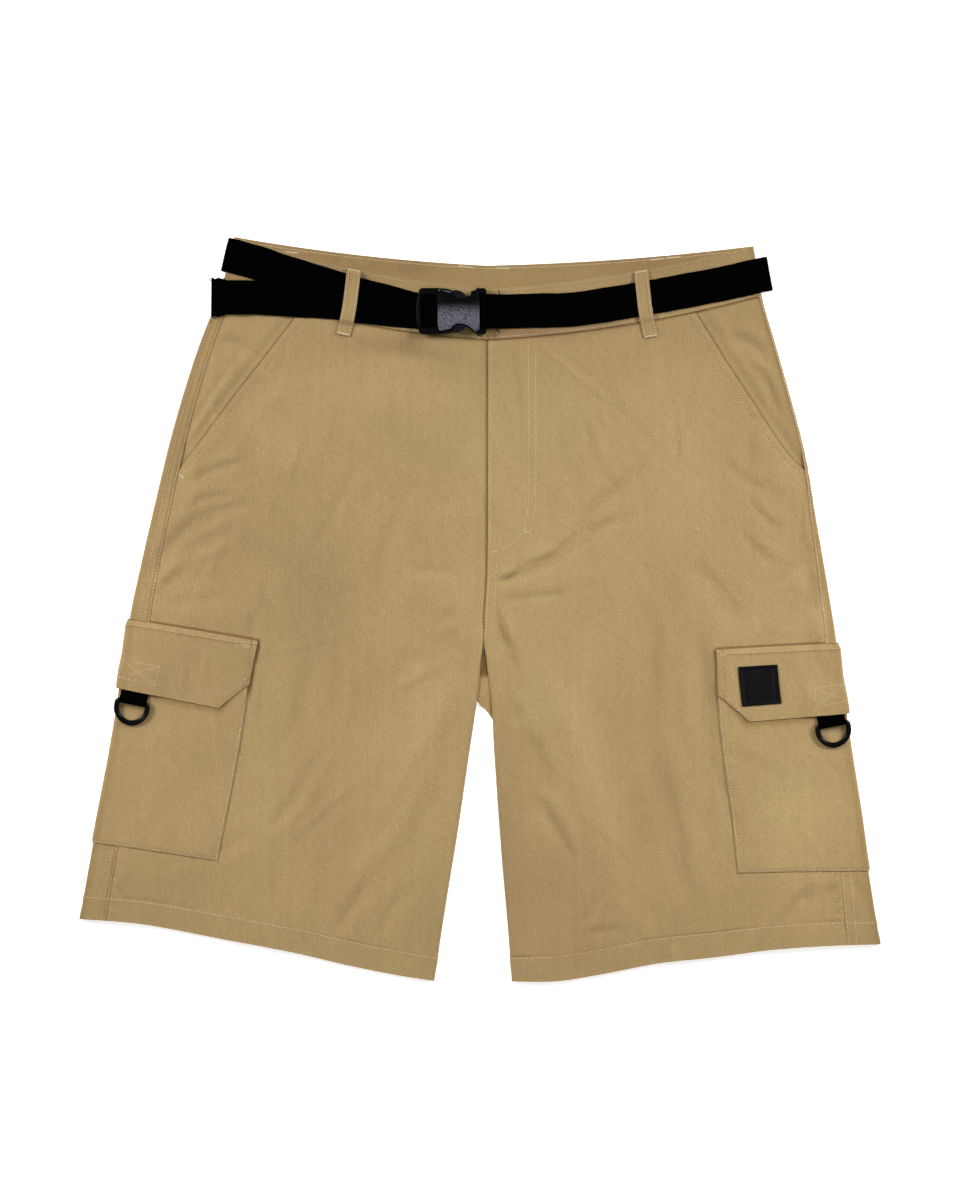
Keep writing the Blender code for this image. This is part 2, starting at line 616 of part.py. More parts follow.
def belt_loop(name, leg, top, bottom, end_row, lift, belt_from, belt_to):
    """A belt loop, sewn at both ends and standing over the belt between."""
    start = LOOP_TOP_ROW
    risen = belt_from + LOOP_RISE_ROWS
    landed = belt_to + LOOP_FALL_ROWS
    middle = (belt_from + belt_to) / 2
    rows = [start, (start + risen) / 2, risen, middle, belt_to, landed, (landed + end_row) / 2, end_row]

    def place(across, row, outer):
        share = (row - start) / (end_row - start)
        distance = (top + (bottom - top) * share) * MM + across * LOOP_WIDTH / 2
        rise = smooth_step((row - start) / (risen - start))
        fall = smooth_step((landed - row) / LOOP_FALL_ROWS)
        height = SEAM_GAP + (lift * MM - SEAM_GAP) * rise * fall
        return skin(leg, row, distance, height + (LOOP_WALL if outer else 0))

    return sheet(name, [-1, 0, 1], rows, place, CLOTH)


def band(name, path, turns, width, wall, look):
    """A flat band along a path of (point, width direction): its wall is centred on the path."""
    points = [Vector(point) for point in path]
    directions = []
    for number, point in enumerate(points):
        ahead = points[min(number + 1, len(points) - 1)]
        behind = points[max(number - 1, 0)]
        along = (ahead - behind).normalized()
        across = turns[number]
        directions.append((across, across.cross(along).normalized()))

    def place(side, number, outer):
        across, normal = directions[number]
        offset = wall / 2 if outer else -wall / 2
        return points[number] + across * (side * width / 2) + normal * offset

    return sheet(name, [-1, 0, 1], list(range(len(points))), place, look)


def plan_across(points, number, flip):
    """The level direction across a run of the belt at one of its points."""
    ahead = points[min(number + 1, len(points) - 1)]
    behind = points[max(number - 1, 0)]
    heading = Vector((ahead[0] - behind[0], ahead[1] - behind[1], 0))
    if heading.length < 2.5:
        return Vector((0, 1, 0))
    heading.normalize()
    across = Vector((-heading.y, heading.x, 0))
    return -across if flip else across


def turn_points(centre):
    """Half a turn of the belt round a side of the waistband, from the front layer to the under layer."""
    x, y, heading = centre
    out = Vector((math.cos(math.radians(heading)), math.sin(math.radians(heading)), 0))
    radius = (FIRST_LAYER - UNDER_LAYER) / 2
    middle = (FIRST_LAYER + UNDER_LAYER) / 2
    made = []
    for step in range(TURN_STEPS + 1):
        angle = math.pi * step / TURN_STEPS
        height = middle + radius * math.cos(angle)
        made.append(Vector((x, y, height)) + out * (radius * math.sin(angle)))
    return made, out


def belt_strap():
    """The strap: from the female half, round the right-hand side, the back and the left, to the adjuster."""
    points, across = [], []
    for number, point in enumerate(STRAP_FROM_BUCKLE):
        level = plan_across(STRAP_FROM_BUCKLE, number, False)
        across.append(level if point[0] > 30 else Vector((0, 1, 0)))
        points.append(Vector(point) * MM)
    right_turn, right_out = turn_points(RIGHT_TURN)
    points += [point * MM for point in right_turn]
    across += [Vector((-right_out.y, right_out.x, 0))] * len(right_turn)
    for number, point in enumerate(STRAP_BACK):
        points.append(Vector(point) * MM)
        across.append(plan_across(STRAP_BACK, number, True))
    left_turn, left_out = turn_points(LEFT_TURN)
    points += [point * MM for point in left_turn[::-1]]
    across += [Vector((left_out.y, -left_out.x, 0))] * len(left_turn)
    for number, point in enumerate(STRAP_TO_BUCKLE):
        points.append(Vector(point) * MM)
        across.append(plan_across(STRAP_TO_BUCKLE, number, False) if point[0] < -54 else Vector((0, 1, 0)))
    return band("belt_strap", points, across, WEBBING_WIDTH, WEBBING_WALL, WEBBING)


def belt_tail():
    """The free end of the strap, back under it to its left end."""
    points = [Vector(point) * MM for point in TAIL]
    across = [plan_across(TAIL, number, False) for number in range(len(TAIL))]
    return band("belt_tail", points, across, WEBBING_WIDTH, WEBBING_WALL, WEBBING)


def plate(name, outline, low, high, look):
    """A flat closed outline, in mm, pulled up from one height to another."""
    bm = bmesh.new()
    rim = [bm.verts.new(Vector((x, BUCKLE_Y + y, low)) * MM) for x, y in outline]
    bottom = bm.faces.new(rim)
    pulled = bmesh.ops.extrude_face_region(bm, geom=[bottom], use_keep_orig=True)
    for item in pulled["geom"]:
        if isinstance(item, bmesh.types.BMVert):
            item.co.z = high * MM
    return finish(name, bm, look)


def mirrored(half):
    """A whole outline from its half above the buckle's middle line."""
    return half + [(x, -y) for x, y in reversed(half)]


def box_outline(x_low, x_high, half_width):
    """A rectangle across the buckle's middle line."""
    return [(x_low, -half_width), (x_high, -half_width), (x_high, half_width), (x_low, half_width)]


def combine(target, other, operation):
    """Join or cut with another object, which is kept out of the finished part."""
    change = target.modifiers.new(operation.lower(), "BOOLEAN")
    change.operation = operation
    change.solver = "EXACT"
    change.object = other
    other.hide_render = True
    other.display_type = "WIRE"


def buckle_female():
    """Female half: crowned body with side openings, a hollow for the prongs, and a rear bar for the strap."""
    low = BUCKLE_Z - FEMALE_THICKNESS / 2
    high = BUCKLE_Z + FEMALE_THICKNESS / 2
    body = plate("buckle_female", mirrored(FEMALE_HALF_OUTLINE), low, high, PLASTIC)
    start, end, height = FEMALE_CAVITY
    outline = box_outline(start, end, CUT_HALF_WIDTH)
    hollow = plate("cut_hollow", outline, BUCKLE_Z - height / 2, BUCKLE_Z + height / 2, PLASTIC)
    combine(body, hollow, "DIFFERENCE")
    slot_from, slot_to, slot_half = FEMALE_SLOT
    outline = box_outline(slot_from, slot_to, slot_half)
    slot = plate("cut_slot", outline, low - CUT_MARGIN, high + CUT_MARGIN, PLASTIC)
    combine(body, slot, "DIFFERENCE")
    outline = box_outline(slot_from, CUT_BEHIND, slot_half)
    over = plate("cut_over_bar", outline, REAR_BAR_Z[1], high + CUT_MARGIN, PLASTIC)
    combine(body, over, "DIFFERENCE")
    under = plate("cut_under_bar", outline, low - CUT_MARGIN, REAR_BAR_Z[0], PLASTIC)
    combine(body, under, "DIFFERENCE")
    return body


def buckle_male():
    """Male half: adjuster frame with its bar, two side prongs and a guide tongue."""
    low, high = MALE_FRAME_Z
    frame = plate("buckle_male", mirrored(MALE_FRAME_HALF_OUTLINE), low, high, PLASTIC)
    window_from, window_to, window_half = MALE_WINDOW
    outline = box_outline(window_from, window_to, window_half)
    window = plate("cut_window", outline, low - CUT_MARGIN, high + CUT_MARGIN, PLASTIC)
    combine(frame, window, "DIFFERENCE")
    bar_low, bar_high = MALE_BAR_Z
    bar = plate("join_bar", box_outline(*MALE_BAR), bar_low, bar_high + JOIN_DEPTH, PLASTIC)
    combine(frame, bar, "UNION")
    clear_strap = plate("cut_over_strap", outline, bar_high, high + CUT_MARGIN, PLASTIC)
    combine(frame, clear_strap, "DIFFERENCE")
    prong_low = BUCKLE_Z - MALE_PRONG_THICKNESS / 2
    prong_high = BUCKLE_Z + MALE_PRONG_THICKNESS / 2
    for side in (1, -1):
        outline = [(x, y * side) for x, y in MALE_PRONG_OUTLINE]
        prong = plate("join_prong", outline, prong_low, prong_high, PLASTIC)
        combine(frame, prong, "UNION")
    start, end, half = MALE_TONGUE
    tongue = plate("join_tongue", box_outline(start, end, half), prong_low, prong_high, PLASTIC)
    combine(frame, tongue, "UNION")
    return frame


def ring_height(leg):
    """Height of the pocket's outer face where a ring lies."""
    row, distance = RING_BED
    return skin_point(leg, row, distance).z + POCKET_GAP + POCKET_WALL


def ring_frame(leg):
    """Bar centre of a D-ring, its turn in plan, and the outer radius of the tab round the bar."""
    (x, y), turn = RINGS[leg]
    loop_radius = RING_WIRE / 2 + SEAM_GAP + TAB_WALL
    centre = Vector((x * MM, y * MM, ring_height(leg) + SEAM_GAP + loop_radius))
    return centre, math.radians(turn), loop_radius


def d_ring(leg):
    """A D of round wire whose straight bar lies in the tab; its origin is on the bar."""
    centre, turn, loop_radius = ring_frame(leg)
    half = RING_WIDTH / 2
    corner = RING_CORNER
    straight = RING_DEPTH - half
    outline = []
    for step in range(3):
        angle = math.pi / 4 * step
        outline.append((half - corner + corner * math.sin(angle), -corner + corner * math.cos(angle)))
    for step in range(13):
        angle = math.pi * step / 12
        outline.append((half * math.cos(angle), -straight - half * math.sin(angle)))
    for step in range(3):
        angle = math.pi / 4 * (2 - step)
        outline.append((-half + corner - corner * math.sin(angle), -corner + corner * math.cos(angle)))
    tilt = math.asin((loop_radius - RING_WIRE / 2) / RING_DEPTH)
    curve = bpy.data.curves.new("d_ring_" + leg, "CURVE")
    curve.dimensions = "3D"
    curve.bevel_depth = RING_WIRE / 2
    curve.bevel_resolution = 2
    spline = curve.splines.new("POLY")
    spline.points.add(len(outline) - 1)
    for point, (x, y) in zip(spline.points, outline):
        point.co = (x, y * math.cos(tilt), y * math.sin(tilt), 1)
    spline.use_cyclic_u = True
    curve.materials.append(material(*COATED_METAL))
    ring = bpy.data.objects.new("d_ring_" + leg, curve)
    ring.location = centre
    ring.rotation_euler = (0, 0, turn)
    bpy.context.scene.collection.objects.link(ring)
    return ring


def ring_tab(leg):
    """A webbing tab folded round the ring's bar, its sewn end tucked under the flap."""
    centre, turn, radius = ring_frame(leg)
    hole = RING_WIRE / 2 + SEAM_GAP
    low = -radius
    high = TAB_WALL - radius
    turns = [math.radians(angle) for angle in range(30, 271, 30)]
    loop = [(radius * math.cos(angle), radius * math.sin(angle)) for angle in turns]
    section_line = [(TAB_TUCK, high), (radius + TAB_NECK, high)] + loop + [(TAB_TUCK, low)]
    bm = bmesh.new()
    rim = [bm.verts.new((-TAB_WIDTH / 2, y, z)) for y, z in section_line]
    side = bm.faces.new(rim)
    pulled = bmesh.ops.extrude_face_region(bm, geom=[side], use_keep_orig=True)
    for item in pulled["geom"]:
        if isinstance(item, bmesh.types.BMVert):
            item.co.x = TAB_WIDTH / 2
    body = finish("ring_tab_" + leg, bm, WEBBING)
    body.location = centre
    body.rotation_euler = (0, 0, turn)
    bore = bmesh.new()
    bmesh.ops.create_cone(bore, cap_ends=True, segments=12, radius1=hole, radius2=hole, depth=TAB_WIDTH * 2,
                          matrix=Matrix.Rotation(math.pi / 2, 4, "Y"))
    cutter = finish("cut_bore_" + leg, bore, WEBBING)
    cutter.location = centre
    cutter.rotation_euler = (0, 0, turn)
    combine(body, cutter, "DIFFERENCE")
    return body


def patch():
    """A leather patch sewn on the left flap."""
    rows = [PATCH_FROM[0], (PATCH_FROM[0] + PATCH_TO[0]) / 2, PATCH_TO[0]]
    distances = [PATCH_FROM[1], (PATCH_FROM[1] + PATCH_TO[1]) / 2, PATCH_TO[1]]

    def place(distance, row, outer):
        lift = flap_lift(row, distance * MM) + FLAP_WALL + SEAM_GAP
        return skin(PATCH_LEG, row, distance * MM, lift + (PATCH_WALL if outer else 0))

    return sheet("patch", distances, rows, place, LEATHER)


def build():
    """Make every piece of the shorts."""
    clear_scene()
    for leg in ("right", "left"):
        front_panel(leg)
        back_panel(leg)
        pocket_facing(leg)
        waistband_front(leg)
        cargo_pocket(leg)
        cargo_flap(leg)
        ring_tab(leg)
        d_ring(leg)
    waistband_back()
    for loop in BELT_LOOPS:
        belt_loop(*loop)
    belt_strap()
    belt_tail()
    buckle_female()
    buckle_male()
    patch()


build()
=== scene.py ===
# %% [markdown]
# # Cargo shorts, laid flat
#
# Each leg of a pair of trousers is a tube of cloth. Laid down, the tube goes flat: a fold runs down each
# side, the fronts lie on the backs, and the belt runs on round the waistband. This lesson dresses a plain
# CAD model of the shorts.

# %% Load the frame
import math
import random

import bmesh
import bpy
import numpy as np
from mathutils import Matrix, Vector
from mathutils.bvhtree import BVHTree


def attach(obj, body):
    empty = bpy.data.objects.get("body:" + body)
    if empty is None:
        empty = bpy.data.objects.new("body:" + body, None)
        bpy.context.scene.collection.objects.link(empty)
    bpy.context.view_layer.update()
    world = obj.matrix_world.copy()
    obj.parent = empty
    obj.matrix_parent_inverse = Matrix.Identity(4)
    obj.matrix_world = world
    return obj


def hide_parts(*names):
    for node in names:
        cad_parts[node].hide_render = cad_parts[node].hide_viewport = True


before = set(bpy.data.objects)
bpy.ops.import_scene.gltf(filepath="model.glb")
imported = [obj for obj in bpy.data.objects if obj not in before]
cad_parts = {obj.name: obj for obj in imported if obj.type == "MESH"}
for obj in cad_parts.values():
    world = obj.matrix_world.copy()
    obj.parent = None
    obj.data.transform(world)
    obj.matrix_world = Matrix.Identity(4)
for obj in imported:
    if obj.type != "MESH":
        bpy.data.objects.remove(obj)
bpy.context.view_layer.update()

MM = 0.001
LEGS = ("right", "left")
print("nodes in the frame:", len(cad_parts))

# %% [markdown]
# ## Curves through a few sizes
#
# A paper pattern gives a width here and there and a smooth line between. Two helpers do the same for whole
# arrays at once: a soft step from 0 to 1, and a curve through rows of (place, value). Others measure along a
# grid of points. Numpy works on all points of a piece in one go, which keeps a mesh of many thousand quick.

# %% Soft steps and curves through rows
def ease(value):
    """0 below 0, 1 above 1, and a soft rise between."""
    value = np.clip(value, 0.0, 1.0)
    return value * value * (3 - 2 * value)


def bell(value):
    """1 at 0, falling away softly on both sides, and next to nothing past 2."""
    return np.exp(-(value**2))


def through(rows, at):
    """Values at an array of places, on a smooth curve through (place, value) rows."""
    table = np.array(sorted(rows), float)
    places, values = table[:, 0], table[:, 1]
    number = np.arange(len(places))
    before = np.maximum(number - 1, 0)
    after = np.minimum(number + 1, len(places) - 1)
    slopes = (values[after] - values[before]) / (places[after] - places[before])
    at = np.asarray(at, float)
    low = np.clip(np.searchsorted(places, at, side="right") - 1, 0, len(places) - 2)
    span = places[low + 1] - places[low]
    share = (at - places[low]) / span
    inside = np.clip(share, 0, 1)
    square, cube = inside**2, inside**3
    curve = (2 * cube - 3 * square + 1) * values[low] + (3 * square - 2 * cube) * values[low + 1]
    turn = (cube - 2 * square + inside) * slopes[low] + (cube - square) * slopes[low + 1]
    edge = np.where(share < 0, slopes[low], slopes[low + 1])
    return curve + (turn + edge * (share - inside)) * span


def gaps(points, axis=0):
    """Distances between neighbours in a line or grid of points, down it or across it."""
    return np.linalg.norm(np.diff(points, axis=axis), axis=-1)


def run_to(points, axis=0):
    """Length from the first point to each point, down a grid or across it."""
    made = np.cumsum(gaps(points, axis), axis=axis)
    return np.concatenate([np.zeros_like(made.take([0], axis=axis)), made], axis=axis)


def unit(vectors):
    """Vectors made one long."""
    return vectors / np.linalg.norm(vectors, axis=-1, keepdims=True)


# %% [markdown]
# ## The cut of the shorts
#
# These tables are the pattern, in millimetres as laid flat: the rows of a leg from the waist to the hem,
# its side fold and inner edge, and where the seams, pockets and flaps lie round from the side fold. They
# are the same sizes that the CAD solids were made from, so every finer piece lies on its solid.

# %% Sizes of the cut
TOP, WAIST_SEAM, HIP, SEAT, FLY_END, CROTCH, FLAP_TOP, FLAP_BOTTOM, POCKET_BOTTOM, HEM = range(10)
PANEL_WALL, BAND_WALL, POCKET_WALL, FLAP_WALL, LOOP_WALL = 1.25 * MM, 2.0 * MM, 1.1 * MM, 1.1 * MM, 1.0 * MM
WEBBING_WALL, WEBBING_WIDTH, LOOP_WIDTH = 1.6 * MM, 30 * MM, 12.3 * MM
SEAM_GAP, POCKET_GAP = 0.3 * MM, 0.45 * MM
BAND_DEPTH, FLAP_DEPTH = 44 * MM, 61 * MM
FOLD_RADIUS = 2.4 * MM
FOLD_ARC = FOLD_RADIUS * math.pi / 2
FOLD_SPARE = FOLD_RADIUS * (math.pi / 2 - 1)
MIDDLE_PUFF, BELT_REST = 1.0 * MM, 3.2 * MM
ROLL_START, ROLL_ROWS = {True: 4.85, False: 5.5}, 1.1

# (row, side y, front middle y, back middle y, front sag, back sag)
SECTIONS = {
    "right": [
        (TOP, 325, 279, 300, 6.5, 3.5), (WAIST_SEAM, 281, 235, 256, 8, 4.5),
        (HIP, 226.5, 183, 197, 5.5, 2.5), (SEAT, 139, 100, 104, 3, 2),
        (FLY_END, 78, 38.5, 16.5, 1, 0), (CROTCH, 27, -27, -62, -0.5, 0),
        (FLAP_TOP, -8.5, -65.5, -95.5, -2.5, 0), (FLAP_BOTTOM, -69.5, -125, -132, 1.5, 0),
        (POCKET_BOTTOM, -204, -258, -258, -3.5, -3.5), (HEM, -271, -325, -325, 0, 0),
    ],
    "left": [
        (TOP, 317, 279, 300, 5.5, 3), (WAIST_SEAM, 273.5, 235, 256, 6.5, 3.5),
        (HIP, 224, 183, 197, 5, 2.5), (SEAT, 139, 100, 104, 3, 2),
        (FLY_END, 78, 38.5, 16.5, 1, 0), (CROTCH, 8, -27, -62, -1, 0),
        (FLAP_TOP, -29.5, -51.5, -99, -2.5, 0), (FLAP_BOTTOM, -91.5, -116.5, -123.5, 0, 0),
        (POCKET_BOTTOM, -229, -247.5, -247.5, -5.5, -5.5), (HEM, -293, -325.5, -325.5, 0, 0),
    ],
}
# (share of the way to the inner leg, how far the hem swings up)
HEM_SWING = {
    "right": [(0, 0), (0.1, 3.5), (0.2, 5.4), (0.4, 4.5), (0.6, 3.7), (0.75, 0.8), (0.9, -0.5), (1, 0)],
    "left": [(0, 0), (0.13, 3.1), (0.29, 4.8), (0.45, 3.4), (0.61, 3), (0.77, -1.8), (0.88, -3.6), (1, 0)],
}
# (y, x) of a leg's edges
SIDE_FOLD = {
    "right": [(325, -214.5), (281, -226), (226.5, -247), (156.5, -268.5), (78, -287.5), (27, -299),
              (-8.5, -306), (-71, -314), (-123, -322.5), (-204, -338), (-271, -350)],
    "left": [(317, 239), (273.5, 246), (224, 260.5), (139, 283.5), (78, 294), (16.5, 304.5),
             (-29.5, 311.5), (-71, 316), (-123, 323.5), (-176, 332), (-229, 339.5), (-293, 350)],
}
FRONT_INNER = {
    "right": [(279, 7), (38.5, 6.2), (-22, 3.4), (-46.5, 0.9), (-65.5, -0.9), (-86.5, -3.5),
              (-125, -9.2), (-193, -19.2), (-258, -29.8), (-325, -40.2)],
    "left": [(279, 7), (38.5, 6.4), (-22, 3.7), (-51.5, 6.4), (-65.5, 8.3), (-88.5, 10.5),
             (-123.5, 12.3), (-211, 18.4), (-281, 24.5), (-325.5, 28)],
}
BACK_INNER = {
    "right": [(300, 6.1), (43, 6.1), (-30, 4), (-62, -0.8), (-80, -3.4), (-95.5, -5.4), (-132, -10.2),
              (-193, -19.2), (-258, -29.8), (-325, -40.2)],
    "left": [(300, 6.1), (43, 6.1), (-30, 4), (-62, -0.8), (-80, -3), (-88, 3.5), (-97, 10), (-104, 11.8),
             (-123.5, 12.3), (-211, 18.4), (-281, 24.5), (-325.5, 28)],
}
# (row, distance round from the side fold)
SIDE_SEAM = {
    "right": [(WAIST_SEAM, 11.5), (SEAT, 15), (CROTCH, 18), (FLAP_TOP, 19.5), (POCKET_BOTTOM, 24), (HEM, 25)],
    "left": [(WAIST_SEAM, 4.2), (SEAT, 4.4), (FLY_END, 6.5), (CROTCH, 9.5), (FLAP_TOP, 11.5),
             (POCKET_BOTTOM, 26), (HEM, 31)],
}
SLANT_EDGE = {
    "right": [(WAIST_SEAM, 71.5), (1.5, 64.8), (HIP, 56), (2.5, 39.8), (SEAT, 21.5), (3.2, 15.5)],
    "left": [(WAIST_SEAM, 60), (1.5, 53.3), (HIP, 46), (2.5, 32.3), (SEAT, 16.5), (3.25, 4.6)],
}
SLANT_END = {"right": 3.2, "left": 3.25}
POCKET_FRONT_EDGE = {
    "right": [(FLAP_TOP, 111), (POCKET_BOTTOM, 112)],
    "left": [(FLAP_TOP, 106.5), (POCKET_BOTTOM, 116)],
}
FLAP_FRONT_EDGE = {
    "right": [(FLAP_TOP, 115.5), (6.1, 115.5), (FLAP_BOTTOM, 112.5)],
    "left": [(FLAP_TOP, 108), (6.1, 107), (FLAP_BOTTOM, 109.5)],
}
POCKET_BACK_REACH, FLAP_BACK_REACH = 73 * MM, 75 * MM
POCKET_STITCH, FLAP_STITCH = 1.7 * MM, 5.4 * MM
POCKET_FOOT_STITCH, FLAP_TOP_STITCH, FLAP_FOOT_STITCH, BAND_STITCHES = 7.987, 0.12, 0.885, (0.045, 0.955)
POCKET_TOP_ROW, FLAP_DIP_ROW = 6.15, 6.13
FLY_LAP, FLY_LAP_END, FLY_DIP_END, FLY_FADE_ROWS = 12 * MM, 4.4, 5.0, 0.3
CHAMFER_WIDTH, CHAMFER_ROWS = 24 * MM, 0.3
TAB_BUMP = 1.9 * MM


# %% [markdown]
# ## The skin of a leg
#
# A point of the cloth is given by a row down the leg and a distance around it from the side fold: forwards
# over the front, backwards under the back. The skin turns that pair into a place in space. Every panel,
# pocket, flap and loop takes its points from this one skin, moved out along the normal, so layers lie on
# each other as sewn cloth does.

# %% Places on the skin
def section(leg, front, row):
    """The side end and middle end of rows in plan, and their sag, in metres."""
    table = SECTIONS[leg]
    side_y = through([(line[0], line[1]) for line in table], row)
    inner_y = through([(line[0], line[2 if front else 3]) for line in table], row)
    inner = FRONT_INNER if front else BACK_INNER
    side = np.stack([through(SIDE_FOLD[leg], side_y), side_y], axis=-1) * MM
    middle = np.stack([through(inner[leg], inner_y), inner_y], axis=-1) * MM
    return side, middle, through([(line[0], line[4 if front else 5]) for line in table], row) * MM


def inner_roll(front, row):
    """How far a row's middle end is rolled over: 0 along the centre seams, 1 down the inner leg."""
    return ease((row - ROLL_START[front]) / ROLL_ROWS)


def length_round(leg, front, row):
    """Length of rows round from the side fold to their middle end."""
    side, middle, _ = section(leg, front, row)
    return np.linalg.norm(middle - side, axis=-1) + FOLD_SPARE * (1 + inner_roll(front, row))


def underside(across, row):
    """How high the belt, the pocket and the flap beneath hold the back panel up."""
    waist = BELT_REST * ease(HIP - row)
    near_side = ease((120 * MM - across) / (42 * MM)) * ease((row - 4.7) / 1.1)
    pocket = (POCKET_WALL + POCKET_GAP) * ease((8.6 - row) / 0.55)
    flap = (FLAP_WALL + SEAM_GAP) * ease((7.5 - row) / 0.27)
    return waist + (pocket + flap) * near_side


def half_skin(leg, front, row, from_side):
    """Points of the front half or the back half of a leg's skin."""
    side, middle, sag = section(leg, front, row)
    width = np.linalg.norm(middle - side, axis=-1)
    roll = inner_roll(front, row)
    radius = np.maximum(FOLD_RADIUS * roll, 1e-7)
    from_middle = width + FOLD_SPARE * (1 + roll) - from_side
    turn = np.clip(from_side / FOLD_RADIUS, -math.pi, math.pi / 2)
    inner_turn = np.clip(from_middle / radius, -math.pi / 2, math.pi / 2)
    at_side = from_side < FOLD_ARC
    at_middle = (roll > 1e-4) & (from_middle < radius * math.pi / 2) & ~at_side
    across = np.where(at_side, FOLD_RADIUS * (1 - np.cos(turn)), from_side - FOLD_SPARE)
    across = np.where(at_middle, width - radius * (1 - np.cos(inner_turn)), across)
    height = np.where(at_side, np.sin(turn), 1.0)
    height = np.where(at_middle, 1 - roll * (1 - np.sin(inner_turn)), height)
    share = across / width
    plan = side + (middle - side) * share[..., None]
    belly = np.maximum(4 * share * (1 - share), 0)
    down = through(HEM_SWING[leg], share) * MM * ease(row - POCKET_BOTTOM) - sag * belly
    thickness = 2 * FOLD_RADIUS + MIDDLE_PUFF * belly * ease((row - WAIST_SEAM) / 1.5)
    side_of = 1 if front else -1
    up = underside(across, row) + thickness / 2 * (1 + side_of * height)
    return np.stack([plan[..., 0], plan[..., 1] + down, up], axis=-1)


def skin_point(leg, row, around):
    """Points of the outer skin; distances are positive over the front and negative under the back."""
    row, around = np.broadcast_arrays(np.asarray(row, float), np.asarray(around, float))
    front = half_skin(leg, True, row, np.maximum(around, 0))
    back = half_skin(leg, False, row, np.maximum(-around, 0))
    return np.where((around >= 0)[..., None], front, back)


def skin_normal(leg, row, around):
    """The skin's outward direction."""
    step, row_step = 0.2 * MM, 0.004
    row = np.asarray(row, float)
    around = np.asarray(around, float)
    along = skin_point(leg, row, around + step) - skin_point(leg, row, around - step)
    down = skin_point(leg, row + row_step, around) - skin_point(leg, row - row_step, around)
    normal = unit(np.cross(down, along))
    return -normal if leg == "left" else normal


def skin(leg, row, around, lift=0.0):
    """Points of the skin moved out along its normal."""
    normal = skin_normal(leg, row, around)
    return skin_point(leg, row, around) + normal * np.broadcast_to(lift, normal.shape[:-1])[..., None]


def two_skins(leg, row, around, lift, wall):
    """Points of a wall's outer and inner face, its outer face at a lift over the skin."""
    return skin(leg, row, around, lift), skin(leg, row, around, lift - wall)


print("half the waist is", round(float(length_round("left", True, 0.0)) / MM), "mm round the front left")
